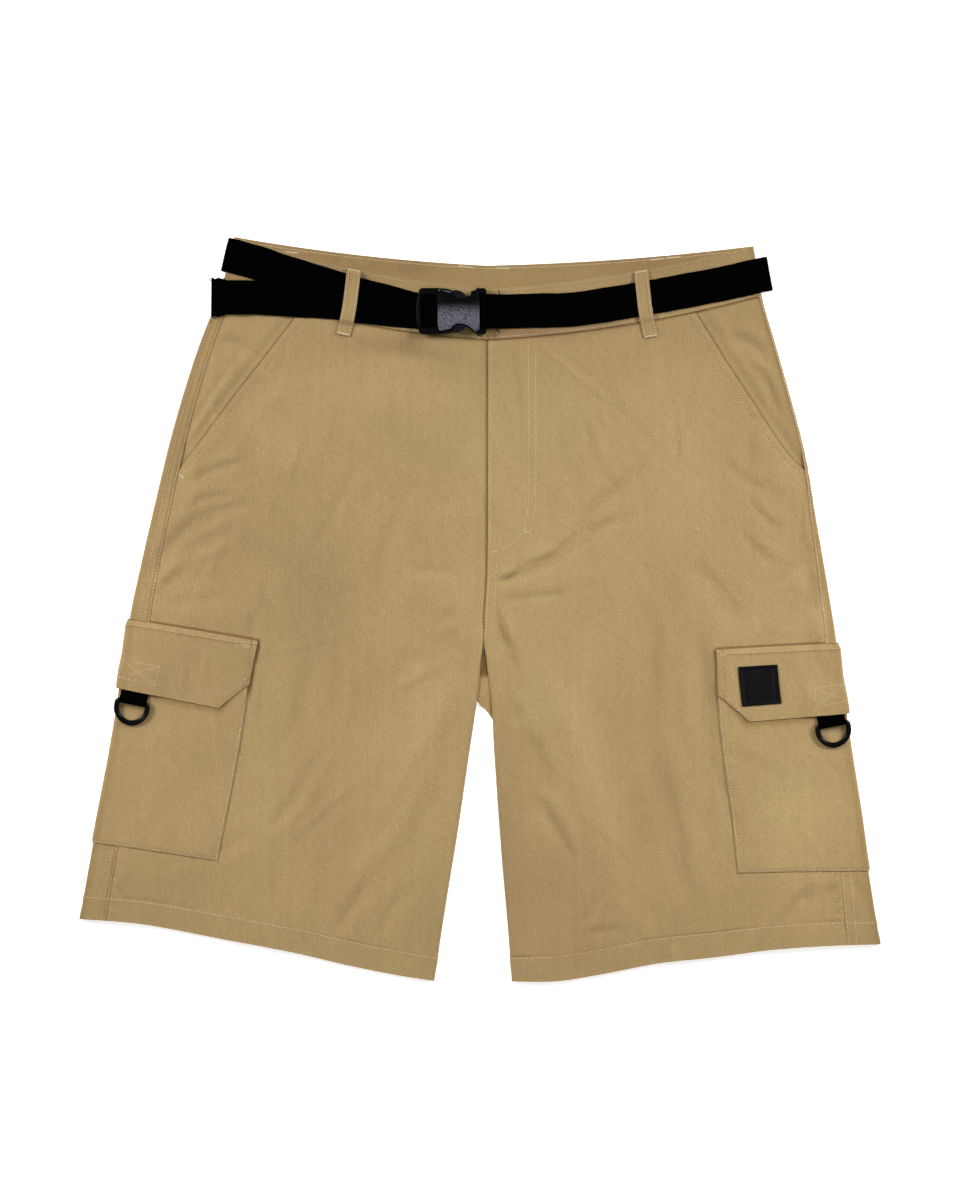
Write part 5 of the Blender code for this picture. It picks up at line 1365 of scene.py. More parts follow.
# %% [markdown]
# ## Side-release buckle
#
# The female half is a crowned shell with a waisted cut-out on each side, where the spring prongs of the
# male half show. Each plate starts as one face of its outline, which is extruded and bevelled; the top
# shell is then crowned by moving its points.

# %% Buckle
BUCKLE_Y, BUCKLE_Z = 259.4, 13.2


def smooth_outline(points, count):
    """A rounder closed outline through a few corners."""
    points = np.array(points, float)
    made = []
    for number in range(len(points)):
        before, here, ahead, beyond = (points[(number + k) % len(points)] for k in (-1, 0, 1, 2))
        bend = 2 * before - 5 * here + 4 * ahead - beyond
        twist = 3 * here - before - 3 * ahead + beyond
        for t in np.arange(count) / count:
            made.append(0.5 * (2 * here + (ahead - before) * t + bend * t**2 + twist * t**3))
    return [tuple(point) for point in made]


def box(x0, x1, half):
    """The outline of an oblong across the belt."""
    return [(x0, -half), (x1, -half), (x1, half), (x0, half)]


def mirrored(outline, side):
    """An outline, turned over when the side is -1."""
    return [(x, y * side) for x, y in outline]


def plate(name, outline, low, high, look, rim=0.6):
    """A bevelled plate from a closed outline, between two heights, all in mm."""
    bm = bmesh.new()
    rim_verts = [bm.verts.new((x * MM, (BUCKLE_Y + y) * MM, low * MM)) for x, y in outline]
    face = bm.faces.new(rim_verts)
    pulled = bmesh.ops.extrude_face_region(bm, geom=[face], use_keep_orig=True)
    top = [item for item in pulled["geom"] if isinstance(item, bmesh.types.BMVert)]
    bmesh.ops.translate(bm, verts=top, vec=(0, 0, (high - low) * MM))
    bmesh.ops.recalc_face_normals(bm, faces=bm.faces)
    rims = [edge for edge in bm.edges if abs(edge.verts[0].co.z - edge.verts[1].co.z) < 1e-7]
    if rim:
        bmesh.ops.bevel(bm, geom=rims, offset=rim * MM, offset_type="OFFSET", segments=3, profile=0.5,
                        affect="EDGES", material=-1, clamp_overlap=True)
    bmesh.ops.triangulate(bm, faces=[face for face in bm.faces if len(face.verts) > 4])
    return finish_mesh(name, bm, look)


def cut(target, cutter):
    """Cut one mesh with another at once, and drop the cutter."""
    change = target.modifiers.new("cut", "BOOLEAN")
    change.operation = "DIFFERENCE"
    change.solver = "EXACT"
    change.object = cutter
    ready = target.evaluated_get(bpy.context.evaluated_depsgraph_get())
    mesh = bpy.data.meshes.new_from_object(ready)
    target.modifiers.clear()
    target.data = mesh
    mesh.shade_smooth()
    mesh.set_sharp_from_angle(angle=SHARP_ANGLE)
    bpy.data.objects.remove(cutter, do_unlink=True)


def join(pieces, name):
    """Several finished meshes as one object."""
    with bpy.context.temp_override(active_object=pieces[0], selected_editable_objects=pieces):
        bpy.ops.object.join()
    pieces[0].name = name
    return pieces[0]


def crown(piece, amount, length, half_width):
    """Bow a plate's top up in the middle and down towards its sides."""
    middle_x = sum(length) / 2
    for vert in piece.data.vertices:
        if vert.co.z / MM > BUCKLE_Z + 1:
            x = (vert.co.x / MM - middle_x) / (length[1] - length[0]) * 2
            y = (vert.co.y / MM - BUCKLE_Y) / half_width
            vert.co.z -= amount * MM * (0.75 * y * y + 0.45 * x**4)


def buckle_female():
    """Top shell, bottom shell, core and rear bar."""
    top_side = [(-35.8, 17.4), (-30, 16.9), (-25.6, 15.8), (-23.6, 13.4), (-21, 12), (-17, 11.6),
                (-12.5, 11.8), (-8.5, 13), (-5.5, 15.2), (-2.8, 17.6), (-0.9, 18.4)]
    low_side = [(-0.9, -18.8), (-2.6, -18.5), (-4.6, -17.2), (-8.5, -14.2), (-11.5, -12.2), (-14.6, -11.2),
                (-18.5, -11), (-22, -11.5), (-23.9, -13), (-25.6, -15), (-28.5, -15.7), (-35.8, -16)]
    outline = smooth_outline(top_side + [(-0.5, 0)] + low_side + [(-36.6, 0)], 5)
    top = plate("buckle_top", outline, BUCKLE_Z + 2.2, BUCKLE_Z + 4.5, GREY_PLASTIC, rim=0.9)
    wider = [(x, y * 1.09) for x, y in outline]
    bottom = plate("buckle_bottom", wider, BUCKLE_Z - 4.5, BUCKLE_Z - 1.9, BLACK_PLASTIC, rim=0.9)
    core_outline = [(-35, -6.8), (-9, -6.8), (-7.6, -17), (-3, -18.5)]
    core_outline += mirrored(core_outline[::-1], -1)
    core = plate("buckle_core", core_outline, BUCKLE_Z - 3, BUCKLE_Z + 3, BLACK_PLASTIC, rim=0.2)
    made = join([top, bottom, core], "buckle_female_body")
    crown(made, 1.5, (-36, -2), 18)
    parts = [made]
    ear = [(-3.2, 15.9), (-3.2, 19.8), (3.6, 20.1), (5.4, 18.6), (5.6, 16.4), (4.8, 15.9)]
    for side in (1, -1):
        outline = mirrored(ear, side)
        low, high = BUCKLE_Z - 4, BUCKLE_Z + 3.2
        parts.append(plate(f"buckle_ear{side}", outline, low, high, BLACK_PLASTIC, rim=0.7))
    parts.append(plate("buckle_bar", box(3.1, 5.4, 17), 10.9, 13.3, BLACK_PLASTIC))
    parts.append(plate("buckle_throat", box(-1.2, 3.4, 16), 10.4, 12.4, BLACK_PLASTIC, rim=0.4))
    parts.append(plate("buckle_edge", box(-2.6, -0.6, 16.6), BUCKLE_Z - 4.2, BUCKLE_Z + 3.4, GREY_PLASTIC))
    return join(parts, "buckle_female_body")


def buckle_male():
    """Adjuster frame with its bar, prongs and tongue."""
    half = [(-54.4, 8.0), (-54.0, 15.0), (-52.5, 19.3), (-50.5, 20.2), (-36.1, 20.2)]
    body = plate("buckle_frame", half + mirrored(half[::-1], -1), 12.5, 15.6, BLACK_PLASTIC, rim=0.7)
    cut(body, plate("buckle_slot", box(-51.7, -38.4, 14.7), 10.5, 17.6, BLACK_PLASTIC, rim=0))
    end = [(-52.4, -16), (-54.6, -12), (-55.5, -5), (-55.7, 0), (-55.5, 5), (-54.6, 12), (-52.4, 16)]
    parts = [body, plate("buckle_end", end, 11.6, 14.6, PRONG_PLASTIC)]
    shoulder = [(-37.2, 20.2), (-30, 19.6), (-24.6, 18.4), (-21.8, 16.6), (-22, 12), (-37.2, 12)]
    for side in (1, -1):
        outline = mirrored(shoulder, side)
        parts.append(plate(f"buckle_shoulder{side}", outline, BUCKLE_Z - 1.8, BUCKLE_Z + 2, BLACK_PLASTIC))
    # Painted highlight: a pale strip along the top of the shoulder.
    highlight_strip = [(-35.8, 18.9), (-25.6, 16.9), (-25.4, 15.9), (-35.8, 17.5)]
    parts.append(plate("buckle_highlight", highlight_strip, BUCKLE_Z + 1, BUCKLE_Z + 2.7, HIGHLIGHT_PLASTIC, rim=0.3))
    parts.append(plate("buckle_slide", box(-45.4, -41.8, 17), 10.3, 12.5, BLACK_PLASTIC))
    prong = [(-37.0, 7.4), (-27.5, 8.2), (-20.0, 8.0), (-12.5, 9.0), (-12.0, 12.2), (-15.5, 16.8),
             (-21.5, 18.4), (-23.6, 17.0), (-24, 13.2), (-37.0, 12.6)]
    for side in (1, -1):
        outline = smooth_outline(mirrored(prong, side), 3)
        low, high = BUCKLE_Z - 1.8, BUCKLE_Z + 2.1
        parts.append(plate(f"buckle_prong{side}", outline, low, high, PRONG_PLASTIC, rim=0.7))
    tongue = box(-37, -11, 3)
    parts.append(plate("buckle_tongue", tongue, BUCKLE_Z - 1.8, BUCKLE_Z + 1.8, BLACK_PLASTIC, rim=0.5))
    return join(parts, "buckle_male_body")


dress(buckle_female(), "buckle_female")
dress(buckle_male(), "buckle_male")

# %% [markdown]
# ## D-rings in their tabs
#
# Each ring is bent wire with a straight bar inside a folded webbing tab, and it turns on that bar.

# %% D-rings and tabs
RING_WIRE, RING_WIDTH, RING_DEPTH, RING_CORNER = 3.3 * MM, 27.9 * MM, 19.4 * MM, 2.6 * MM
TAB_WALL, TAB_LAYER, TAB_WIDTH, TAB_TUCK = 1.0 * MM, 0.8 * MM, 24 * MM, 11.6 * MM
RING_FLAT = 1.4
RINGS = {"right": ((-302.4, -80.5), -11.3), "left": ((306.9, -99.8), 10.5)}


def ring_frame(leg):
    """Bar centre of a D-ring, its turn in plan, and the outer radius of the tab round the bar."""
    (x, y), turn = RINGS[leg]
    bed = float(skin_point(leg, 7.05, 32 * MM)[2]) + POCKET_GAP + POCKET_WALL
    radius = RING_WIRE / 2 + SEAM_GAP + TAB_WALL
    return Vector((x * MM, y * MM, bed + SEAM_GAP + radius)), math.radians(turn), radius


def placed(point, centre, turn):
    """A point of a ring's own frame, turned in plan and moved to its bar."""
    x, y, z = point
    ahead, aside = math.cos(turn), math.sin(turn)
    return Vector((x * ahead - y * aside, x * aside + y * ahead, z)) + centre


def swept(name, line, radius, look, sides=12, closed=True, flat=None):
    """A wire along a line of points, round or wider in plan: rings of points, bridged one to the next."""
    bm = bmesh.new()
    rings = []
    count = len(line)
    up = Vector((0, 0, 1))
    for number, point in enumerate(line):
        ahead = line[(number + 1) % count] if closed else line[min(number + 1, count - 1)]
        behind = line[number - 1] if closed else line[max(number - 1, 0)]
        along = (ahead - behind).normalized()
        across = along.cross(up).normalized()
        over = across.cross(along).normalized()
        made = bmesh.ops.create_circle(bm, segments=sides, radius=radius)["verts"]
        wide = flat[number] if flat else 1.0
        for vert in made:
            vert.co = point + across * (vert.co.x * wide) + over * vert.co.y
        rings.append(list({edge for vert in made for edge in vert.link_edges}))
    pairs = zip(rings, rings[1:] + rings[:1]) if closed else zip(rings, rings[1:])
    for first, second in pairs:
        bmesh.ops.bridge_loops(bm, edges=first + second)
    return finish_mesh(name, bm, look)


def d_ring(leg):
    """A D of round wire with rounded corners and an even bend."""
    centre, turn, loop_radius = ring_frame(leg)
    half, corner = RING_WIDTH / 2 - 0.5 * MM, RING_CORNER
    straight = RING_DEPTH - 0.5 * MM - half
    outline = [(half - corner + corner * math.sin(a), -corner + corner * math.cos(a))
               for a in np.linspace(0, math.pi / 2, 7)]
    outline += [(half * math.cos(a), -straight - half * math.sin(a)) for a in np.linspace(0, math.pi, 37)]
    outline += [(-half + corner - corner * math.sin(a), -corner + corner * math.cos(a))
                for a in np.linspace(math.pi / 2, 0, 7)]
    outline += [(x, 0) for x in np.linspace(-half + corner, half - corner, 9)[1:-1]]
    tilt = math.asin((loop_radius - RING_WIRE / 2) / RING_DEPTH)
    line = [placed((x, y * math.cos(tilt), y * math.sin(tilt)), centre, turn) for x, y in outline]
    flat = [1 + (RING_FLAT - 1) * float(ease(-y / (3 * MM))) for x, y in outline]
    made = swept("ring_wire_" + leg, line, RING_WIRE / 2, RING_BLACK, sides=16, flat=flat)
    dress(made, "d_ring_" + leg, body="ring_" + leg)


def ring_tab(leg):
    """A webbing tab folded round the ring's bar, its sewn end tucked under the flap."""
    centre, turn, radius = ring_frame(leg)
    middle, low = radius - TAB_LAYER / 2, TAB_LAYER / 2 - radius
    upper_end = ((11.6, 0), (8, 0), (5.6, 0), (4.2, 0.2), (3.2, 0.9))
    line = [(y * MM, low + 0.85 * MM + z * MM) for y, z in upper_end]
    line += [(middle * math.cos(a), middle * math.sin(a)) for a in np.radians(np.arange(0, 271, 13))]
    line += [(0, low), (radius + 1.2 * MM, low), (TAB_TUCK, low)]
    points = [placed((0, y, z), centre, turn) / MM for y, z in line]
    across = [Vector((math.cos(turn), math.sin(turn), 0))] * len(points)
    path, sideways, at = resampled(points, across, 0.6)
    shares = np.array([-1, -0.96, -0.9, -0.5, 0, 0.5, 0.9, 0.96, 1])
    half = TAB_WIDTH / MM / 2 + 0.15 * np.sin(at * 2.4)
    wall = TAB_LAYER / MM / 2 * np.array([0.4, 0.8, 1, 1, 1, 1, 1, 0.8, 0.4])
    outer, inner = tape_skins(path, sideways, shares, half, wall, np.zeros(1))
    sheet_piece("tab_webbing_" + leg, "ring_tab_" + leg, outer, inner, ["cloth_pocket_" + leg],
                BLACK_WEBBING, "webbing", rim=0.12 * MM, squared=True)


for leg in LEGS:
    d_ring(leg)
    ring_tab(leg)

# %% Loose threads at the webbing's ends
LOOSE_THREADS = [
    [(16.9, 274.5, 11), (16.6, 276.4, 11), (15.9, 278, 10.6)],
    [(13.8, 243.9, 11), (15.8, 242.3, 10.8), (17.6, 239.8, 10.2)],
    [(-234.6, 286.4, 10), (-236.1, 287.6, 9.6), (-236.4, 289, 9)],
    [(-232.9, 257, 10), (-234, 255.7, 9.7), (-233.6, 254.3, 9.4)],
]
LOOSE_THREAD_RADIUS = 0.42 * MM
for number, line in enumerate(LOOSE_THREADS):
    bends = [Vector(point) * MM for point in line]
    made = swept(f"loose_thread_{number}", bends, LOOSE_THREAD_RADIUS, BLACK_WEBBING, sides=6, closed=False)
    dress(made, None)

# %% [markdown]
# ## Leather patch
#
# A small black leather patch is sewn on the left flap. It is left plain, with a raised pressed border.

# %% Patch
# (row, distance round in mm) of two opposite corners
PATCH_FROM, PATCH_TO = (6.33, 89.7), (6.85, 55.7)
PATCH_WALL, PATCH_GAP, BORDER_RISE = 0.75 * MM, 0.15 * MM, 0.4 * MM
border_shares = np.array([0, 0.02, 0.045, 0.065, 0.075, 0.085, 0.1, 0.115, 0.13, 0.15])
row_shares = np.concatenate([border_shares, np.linspace(0.2, 0.8, 13), 1 - border_shares[::-1]])
rows = PATCH_FROM[0] + (PATCH_TO[0] - PATCH_FROM[0]) * row_shares
distances = (PATCH_FROM[1] + (PATCH_TO[1] - PATCH_FROM[1]) * row_shares) * MM
row, around = np.meshgrid(rows, distances, indexing="ij")
from_rim = np.minimum(row_shares, 1 - row_shares)
edge_share = np.minimum(from_rim[:, None], from_rim[None])
border = ease((0.085 - edge_share) / 0.02) - 1.2 * bell((edge_share - 0.115) / 0.02)
patch_lift = relief("left", row, around) + flap_lift(row, around) + FLAP_WALL + PATCH_GAP
outer = skin("left", row, around, patch_lift + PATCH_WALL + BORDER_RISE * border)
inner = skin("left", row, around, patch_lift)
patch = shell("patch_leather_panel", outer, inner, LEATHER, rim=0.35 * MM)
dress(patch, "patch")

# %% [markdown]
# ## Sewing
#
# The seams are topstitched in a paler thread, a duller one on the fly and the flaps, about nine stitches to
# the inch. A stitch is a short flattened bead, half sunk in the cloth. Guide lines give the rows: some are
# places on the skin, and some are drawn in plan and dropped on the cloth from above. The finished cloth is
# searched for the nearest face, so every stitch lies on the real surface, creases and all. All stitches of
# a group are one mesh.

# %% Lay stitches along lines
STITCH_PITCH, STITCH_LENGTH, STITCH_WIDTH, STITCH_HEIGHT = 2.7 * MM, 1.9 * MM, 0.66 * MM, 0.5 * MM
STITCH_LIFT = 0.3 * MM
TACK_WIDTH, TACK_HEIGHT, TACK_PITCH = 0.55 * MM, 0.45 * MM, 0.52
dice = random.Random(7)
threads = {}


def cloth_faces(name):
    """The search tree of a finished piece."""
    return BVHTree.FromObject(bpy.data.objects[name], bpy.context.evaluated_depsgraph_get())


def even_places(line, pitch):
    """Lengths along a line of points, and places at an even pitch along it."""
    travelled = run_to(line)
    count = max(2, round(float(travelled[-1] / pitch)))
    return travelled, (np.arange(count) + 0.5) * travelled[-1] / count


def even_points(line, pitch, curved=False):
    """Points at an even pitch along a line."""
    line = np.array(line, float)
    travelled, at = even_places(line, pitch)
    if curved:
        return np.stack([through(list(zip(travelled, line[:, k])), at) for k in range(line.shape[1])], axis=1)
    return np.stack([np.interp(at, travelled, line[:, k]) for k in range(line.shape[1])], axis=1)


def dropped(line, tree):
    """Places in plan, in mm, dropped from above on the cloth: (point, normal)."""
    hits = [tree.ray_cast(Vector((x * MM, y * MM, 0.05)), Vector((0, 0, -1))) for x, y in line]
    return [hit[:2] for hit in hits if hit[0] is not None]


def laid(line, tree, away):
    """Places near the cloth moved to its nearest face, where that face looks the way that away points."""
    hits = [tree.find_nearest(Vector(point)) for point in line]
    return [hit[:2] for hit, outward in zip(hits, away) if hit[1].dot(Vector(outward)) > 0.2]


def sew(group, places):
    """Stitches at places, each along the run of its row."""
    row = threads.setdefault(group, [])
    for number, (point, normal) in enumerate(places):
        ahead = places[min(number + 1, len(places) - 1)][0]
        behind = places[max(number - 1, 0)][0]
        along = ahead - behind
        if along.length < 6 * STITCH_PITCH and along.length > 0:
            along = (along - normal * along.dot(normal)).normalized()
            side = normal.cross(along)
            along = (along + side * dice.uniform(-0.05, 0.05)).normalized()
            length = STITCH_LENGTH * dice.uniform(0.93, 1.05)
            row.append((point, along, normal, length, STITCH_WIDTH, STITCH_HEIGHT))


def sew_plan(group, line, name, curved=False):
    """A row drawn in plan on a piece, in mm."""
    sew(group, dropped(even_points(line, STITCH_PITCH / MM, curved), cloth_faces(name)))


def sew_skin(group, leg, row, around, name, lift=STITCH_LIFT, inside=False):
    """A row on a piece, given by rows and distances on a leg's skin."""
    row, around = np.broadcast_arrays(np.asarray(row, float), np.asarray(around, float))
    row, around = row.ravel(), around.ravel()
    lift = lift + relief(leg, row, around)
    travelled, at = even_places(skin(leg, row, around, lift), STITCH_PITCH)
    lift = np.interp(at, travelled, np.broadcast_to(lift, row.shape))
    row, around = np.interp(at, travelled, row), np.interp(at, travelled, around)
    away = skin_normal(leg, row, around) * (-1 if inside else 1)
    sew(group, laid(skin(leg, row, around, lift), cloth_faces(name), away))


def tack(group, start, end, name, length):
    """A bar tack on a piece: a dense zigzag between two places in plan, in mm."""
    places = dropped(even_points([start, end], TACK_PITCH), cloth_faces(name))
    row = threads.setdefault(group, [])
    along = Vector((end[0] - start[0], end[1] - start[1], 0)).normalized()
    for number, (point, normal) in enumerate(places):
        side = normal.cross(along).normalized()
        slant = (side + along * (0.22 if number % 2 else -0.22)).normalized()
        row.append((point, slant, normal, length * dice.uniform(0.9, 1.08), TACK_WIDTH, TACK_HEIGHT))


def stitch_bead():
    """Points and faces of one bead of thread, its length along x."""
    bm = bmesh.new()
    bmesh.ops.create_uvsphere(bm, u_segments=6, v_segments=4, radius=0.5)
    points = np.array([(vert.co.z, vert.co.x, vert.co.y) for vert in bm.verts])
    faces = [[vert.index for vert in face.verts] for face in bm.faces]
    bm.free()
    return points, faces


def sewn(group, look):
    """All stitches of a group as one mesh."""
    points, faces = stitch_bead()
    verts, all_faces = [], []
    for centre, along, up, length, width, height in threads[group]:
        side = up.cross(along)
        frame_axes = np.array([along * length, side * width, up * height])
        all_faces += [[corner + len(verts) * len(points) for corner in face] for face in faces]
        placed = points @ frame_axes + np.array(centre)
        placed[:, 2] = np.maximum(placed[:, 2], 0)
        verts.append(placed)
    mesh = bpy.data.meshes.new(group)
    mesh.from_pydata(np.concatenate(verts).tolist(), [], all_faces)
    mesh.shade_smooth()
    mesh.materials.append(look)
    made = bpy.data.objects.new(group, mesh)
    bpy.context.scene.collection.objects.link(made)
    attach(made, "garment")
    print(group, len(threads[group]), "stitches")


# %% Waistband, slant, side seam and hem rows
def steps(start, end, count=160):
    """Even values from a start to an end."""
    return np.linspace(start, end, count)


def hem_stitches(leg, start, end, round_leg, name, lift):
    """A hem's row on one panel, from the side seam to the inner leg."""
    around = start + (end - start) * steps(0, 1)
    row = hem_rows(leg, around * 0 + HEM_MARK, np.abs(around) / round_leg)
    sew_skin("thread_hems", leg, row, around, name, lift)


for leg in LEGS:
    for row in BAND_STITCHES:
        across = steps(-FOLD_ARC, float(length_round(leg, True, row)) - 1.2 * MM)
        sew_skin("thread_waist", leg, row, across, "cloth_waistband_front_" + leg)
        across = -steps(FOLD_ARC + 2 * MM, float(length_round(leg, False, row)))
        sew_skin("thread_waist", leg, row, across, "cloth_waistband_back")
    across = -steps(FOLD_ARC + 3 * MM, float(length_round(leg, False, 0.06)))
    sew_skin("thread_waist", leg, 0.06, across, "cloth_waistband_back", -BAND_WALL - STITCH_LIFT, inside=True)
    rows = steps(1.012, SLANT_END[leg] + 0.02)
    sew_skin("thread_pockets", leg, rows, front_start(leg, rows) + SLANT_STITCH, "cloth_front_" + leg)
    for inset in SEAM_STITCHES:
        for rows in (steps(1.012, 6.02), steps(7.99, 8.99)):
            sew_skin("thread_sides", leg, rows, seam_at(leg, rows) - inset, "cloth_back_" + leg)
    start = float(seam_at(leg, HEM))
    end = float(length_round(leg, True, HEM_MARK))
    hem_stitches(leg, start, end - 1.5 * MM, end, "cloth_front_" + leg, 0.5 * MM)
    end = float(length_round(leg, False, HEM_MARK))
    hem_stitches(leg, start, 1.5 * MM - end, end, "cloth_back_" + leg, STITCH_LIFT)

rows = steps(1.012, 5.35)
for inset in (2.2 * MM, 8.6 * MM):
    sew_skin("thread_sides", "left", rows, inset - length_round("left", False, rows), "cloth_back_left", 0.0)

# %% Fly, crotch, boxes and bar tacks
FLY_ROWS = [
    [(9.6, 240.2), (9.1, 175), (8.7, 96.6), (8.6, 53.4)],
    [(48.7, 225.8), (48.5, 95.4), (46.9, 81.4), (44.9, 68.5)],
    [(42.3, 231.9), (42.5, 95.4), (40.6, 79.6), (38.3, 69.1), (33.2, 61.2), (25.4, 54.9), (16.3, 51.2),
     (10.5, 49.9)],
    [(7.9, 40.6), (7, 16.6), (6, -1.8), (5, -21.9)],
    [(14.2, 40.6), (13.4, 14.9), (12.5, -9.6), (11.9, -22.8)],
]
for line in FLY_ROWS:
    sew_plan("thread_fly", line, "cloth_front_left", curved=True)
sew_plan("thread_fly", [(6, -65.5), (3, -72), (-1.4, -79.5)], "cloth_back_left", curved=True)
for start, end in [((38.4, 67.7), (44.6, 67.1)), ((9.1, 49.7), (15.3, 50.2))]:
    tack("thread_fly", start, end, "cloth_front_left", 1.5 * MM)

BOXES = {
    "right": [(-311.5, -44.6), (-278.6, -50.3), (-283.1, -66.5), (-315.2, -59.5)],
    "left": [(317.6, -64.8), (291.4, -69.1), (293.1, -84.9), (320.4, -79.6)],
}
for leg, corners in BOXES.items():
    for start, end in ((0, 1), (1, 2), (2, 3), (3, 0), (0, 2), (1, 3)):
        sew_plan("thread_flaps", [corners[start], corners[end]], "cloth_flap_" + leg)

# (group, piece, length of the stitches in mm): from where to where in plan
TACKS = {
    ("thread_flaps", "cloth_flap_right", 0.8): [
        ((-207.4, -30.8), (-200.8, -31.8)), ((-206.5, -32.9), (-201.2, -33.6)),
    ],
    ("thread_flaps", "cloth_flap_left", 1): [((209.6, -39.8), (214.8, -39.4))],
    ("thread_pockets", "cloth_front_right", 1.2): [((-262.5, 117.7), (-259, 114.2))],
    ("thread_waist", "cloth_waistband_back", 1.6): [
        ((-171.5, 311.9), (-159.2, 311.1)), ((-18.8, 299.7), (-6.6, 298.2)), ((13.6, 297.9), (26.2, 297.5)),
        ((148.8, 304.9), (161, 306.2)), ((162.8, 306.6), (175, 307.6)),
    ],
}
for (group, name, length), places in TACKS.items():
    for start, end in places:
        tack(group, start, end, name, length * MM)

# %% Pocket and flap rows
for leg in LEGS:
    pocket, flap = "cloth_pocket_" + leg, "cloth_flap_" + leg
    rows = steps(6.3, 7.985)
    lift = POCKET_GAP + POCKET_WALL + STITCH_LIFT
    back_edge = POCKET_STITCH - POCKET_BACK_REACH
    front_edge = through(POCKET_FRONT_EDGE[leg], rows) * MM - POCKET_STITCH
    sew_skin("thread_pockets", leg, rows, front_edge, pocket, lift)
    sew_skin("thread_pockets", leg, rows, rows * 0 + back_edge, pocket, lift)
    across = steps(float(through(POCKET_FRONT_EDGE[leg], POCKET_BOTTOM)) * MM - POCKET_STITCH, back_edge)
    sew_skin("thread_pockets", leg, POCKET_FOOT_STITCH, across, pocket, lift)

    front_edge = float(through(FLAP_FRONT_EDGE[leg], 6.1)) * MM
    turn = float(through(FLAP_FRONT_EDGE[leg], 6.9)) * MM - FLAP_STITCH
    back_edge = FLAP_STITCH - FLAP_BACK_REACH
    down, across = steps(FLAP_TOP_STITCH, FLAP_FOOT_STITCH, 40), steps(turn, back_edge, 240)
    share = np.concatenate([down, across * 0 + FLAP_FOOT_STITCH, down[::-1]])
    around = np.concatenate([steps(front_edge - FLAP_STITCH, turn, 40), across, down * 0 + back_edge])
    across = steps(front_edge - 2.5 * MM, 2.5 * MM - FLAP_BACK_REACH, 240)
    for share, around in ((share, around), (0.105, across)):
        row = flap_row(leg, share, around)
        sew_skin("thread_flaps", leg, row, around, flap, flap_lift(row, around) + FLAP_WALL + STITCH_LIFT)

# %% Belt loops
for line in BELT_LOOPS:
    name, leg, end_row = "cloth_" + line[0], line[1], line[4]
    for side in (-LOOP_STITCH, LOOP_STITCH):
        rows = steps(0.035, end_row - 0.035)
        around, height = loop_place(line, rows, side)
        sew_skin("thread_loops", leg, rows, around, name, height + LOOP_WALL + STITCH_LIFT)
    for row in (0.025, end_row - 0.03):
        side = steps(-0.82, 0.82, 20)
        around, height = loop_place(line, row, side)
        points = skin(leg, side * 0 + row, around, height + LOOP_WALL + STITCH_LIFT)
        places = laid(points, cloth_faces(name), skin_normal(leg, side * 0 + row, around))
        along = (places[-1][0] - places[0][0]).normalized()
        for point, normal in places:
            across = normal.cross(along).normalized()
            threads["thread_loops"].append((point, across, normal, 1.5 * MM, TACK_WIDTH, TACK_HEIGHT))

for group in ("thread_waist", "thread_sides", "thread_pockets", "thread_hems", "thread_loops"):
    sewn(group, THREAD)
for group in ("thread_fly", "thread_flaps"):
    sewn(group, DULL_THREAD)

# %% [markdown]
# ## Floor, light and camera
#
# The shorts lie on a plain pale floor. Two lamps with narrow beams graze them from beyond the waist, one on
# each side, so that the creases show; a weaker one by the hems and a pale sky fill the shadows. The camera
# looks straight down, with a long lens from three metres up.

# %% Floor
def floor_material():
    """A matt pale sweep with a trace of unevenness."""
    made, tree, shader = new_material("pale floor", Roughness=1.0, Specular_IOR_Level=0.0,
                                      Emission_Color=(1, 1, 1, 1), Emission_Strength=0.6)
    cloud = stretched_noise(tree, own_place(tree), (3, 3, 3), 2.0)
    colour = ramp(tree, cloud, (0.0, (0.94, 0.94, 0.94)), (1.0, (0.96, 0.96, 0.96)))
    tree.links.new(colour, shader.inputs["Base Color"])
    return made


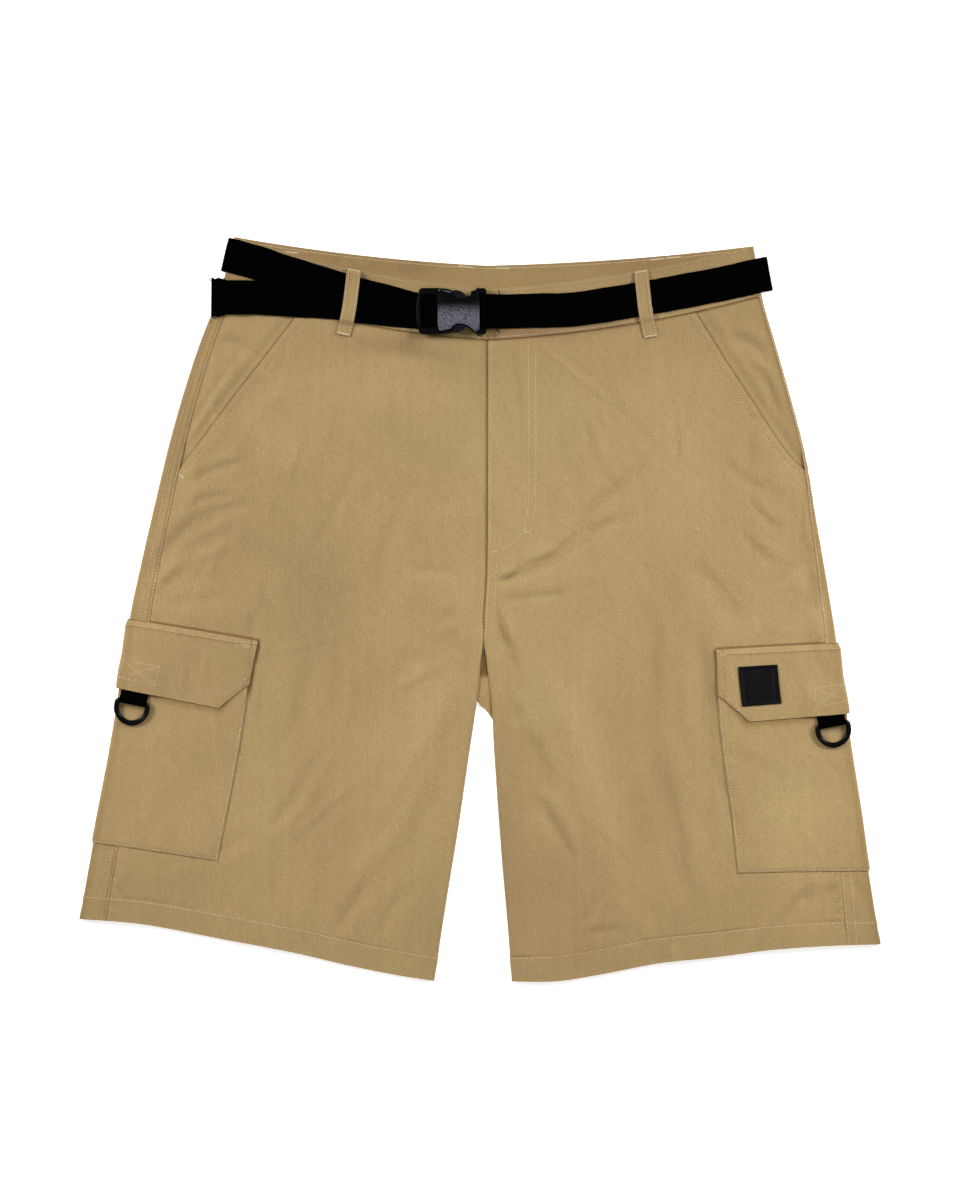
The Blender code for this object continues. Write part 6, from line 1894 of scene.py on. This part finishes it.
FLOOR_SIZE, FLOOR_DROP = 12, 0.1 * MM
bm = bmesh.new()
bmesh.ops.create_grid(bm, x_segments=4, y_segments=4, size=FLOOR_SIZE)
bmesh.ops.translate(bm, verts=bm.verts, vec=(0, 0, -FLOOR_DROP))
floor_mesh = bpy.data.meshes.new("floor")
bm.to_mesh(floor_mesh)
bm.free()
floor_mesh.materials.append(floor_material())
floor = bpy.data.objects.new("floor", floor_mesh)
bpy.context.scene.collection.objects.link(floor)


# %% Light
def soft_box(name, place, aim, power, size, spread):
    """A square lamp at a place, turned to its aim; a small spread is a grid that narrows its beam."""
    lamp = bpy.data.lights.new(name, "AREA")
    lamp.energy = power
    lamp.size = size
    lamp.spread = math.radians(spread)
    made = bpy.data.objects.new(name, lamp)
    made.location = place
    made.rotation_euler = (Vector(aim) - Vector(place)).to_track_quat("-Z", "Y").to_euler()
    bpy.context.scene.collection.objects.link(made)


soft_box("left lamp", (-1.7, 0.8, 1.15), (-0.32, 0.06, 0), 2.5, 0.7, 38)
soft_box("right lamp", (1.7, 0.8, 1.15), (0.32, 0.06, 0), 2.5, 0.7, 38)
soft_box("low lamp", (-0.05, -0.75, 1.6), (0, 0, 0), 1.6, 0.3, 180)
world = bpy.data.worlds.new("studio")
world.use_nodes = True
world.node_tree.nodes["Background"].inputs["Color"].default_value = (1, 1, 1, 1)
world.node_tree.nodes["Background"].inputs["Strength"].default_value = 0.27
bpy.context.scene.world = world
bpy.context.scene.view_settings.view_transform = "Standard"

# %% Camera
CAMERA_HEIGHT, FRAME_WIDTH, FRAME_MIDDLE, SENSOR_WIDTH = 3, 0.84, 0.007875, 36
camera_data = bpy.data.cameras.new("camera")
camera_data.sensor_fit = "HORIZONTAL"
camera_data.sensor_width = SENSOR_WIDTH
camera_data.lens = SENSOR_WIDTH * CAMERA_HEIGHT / FRAME_WIDTH
camera = bpy.data.objects.new("camera", camera_data)
camera.location = (0, FRAME_MIDDLE, CAMERA_HEIGHT)
bpy.context.scene.collection.objects.link(camera)
bpy.context.scene.camera = camera
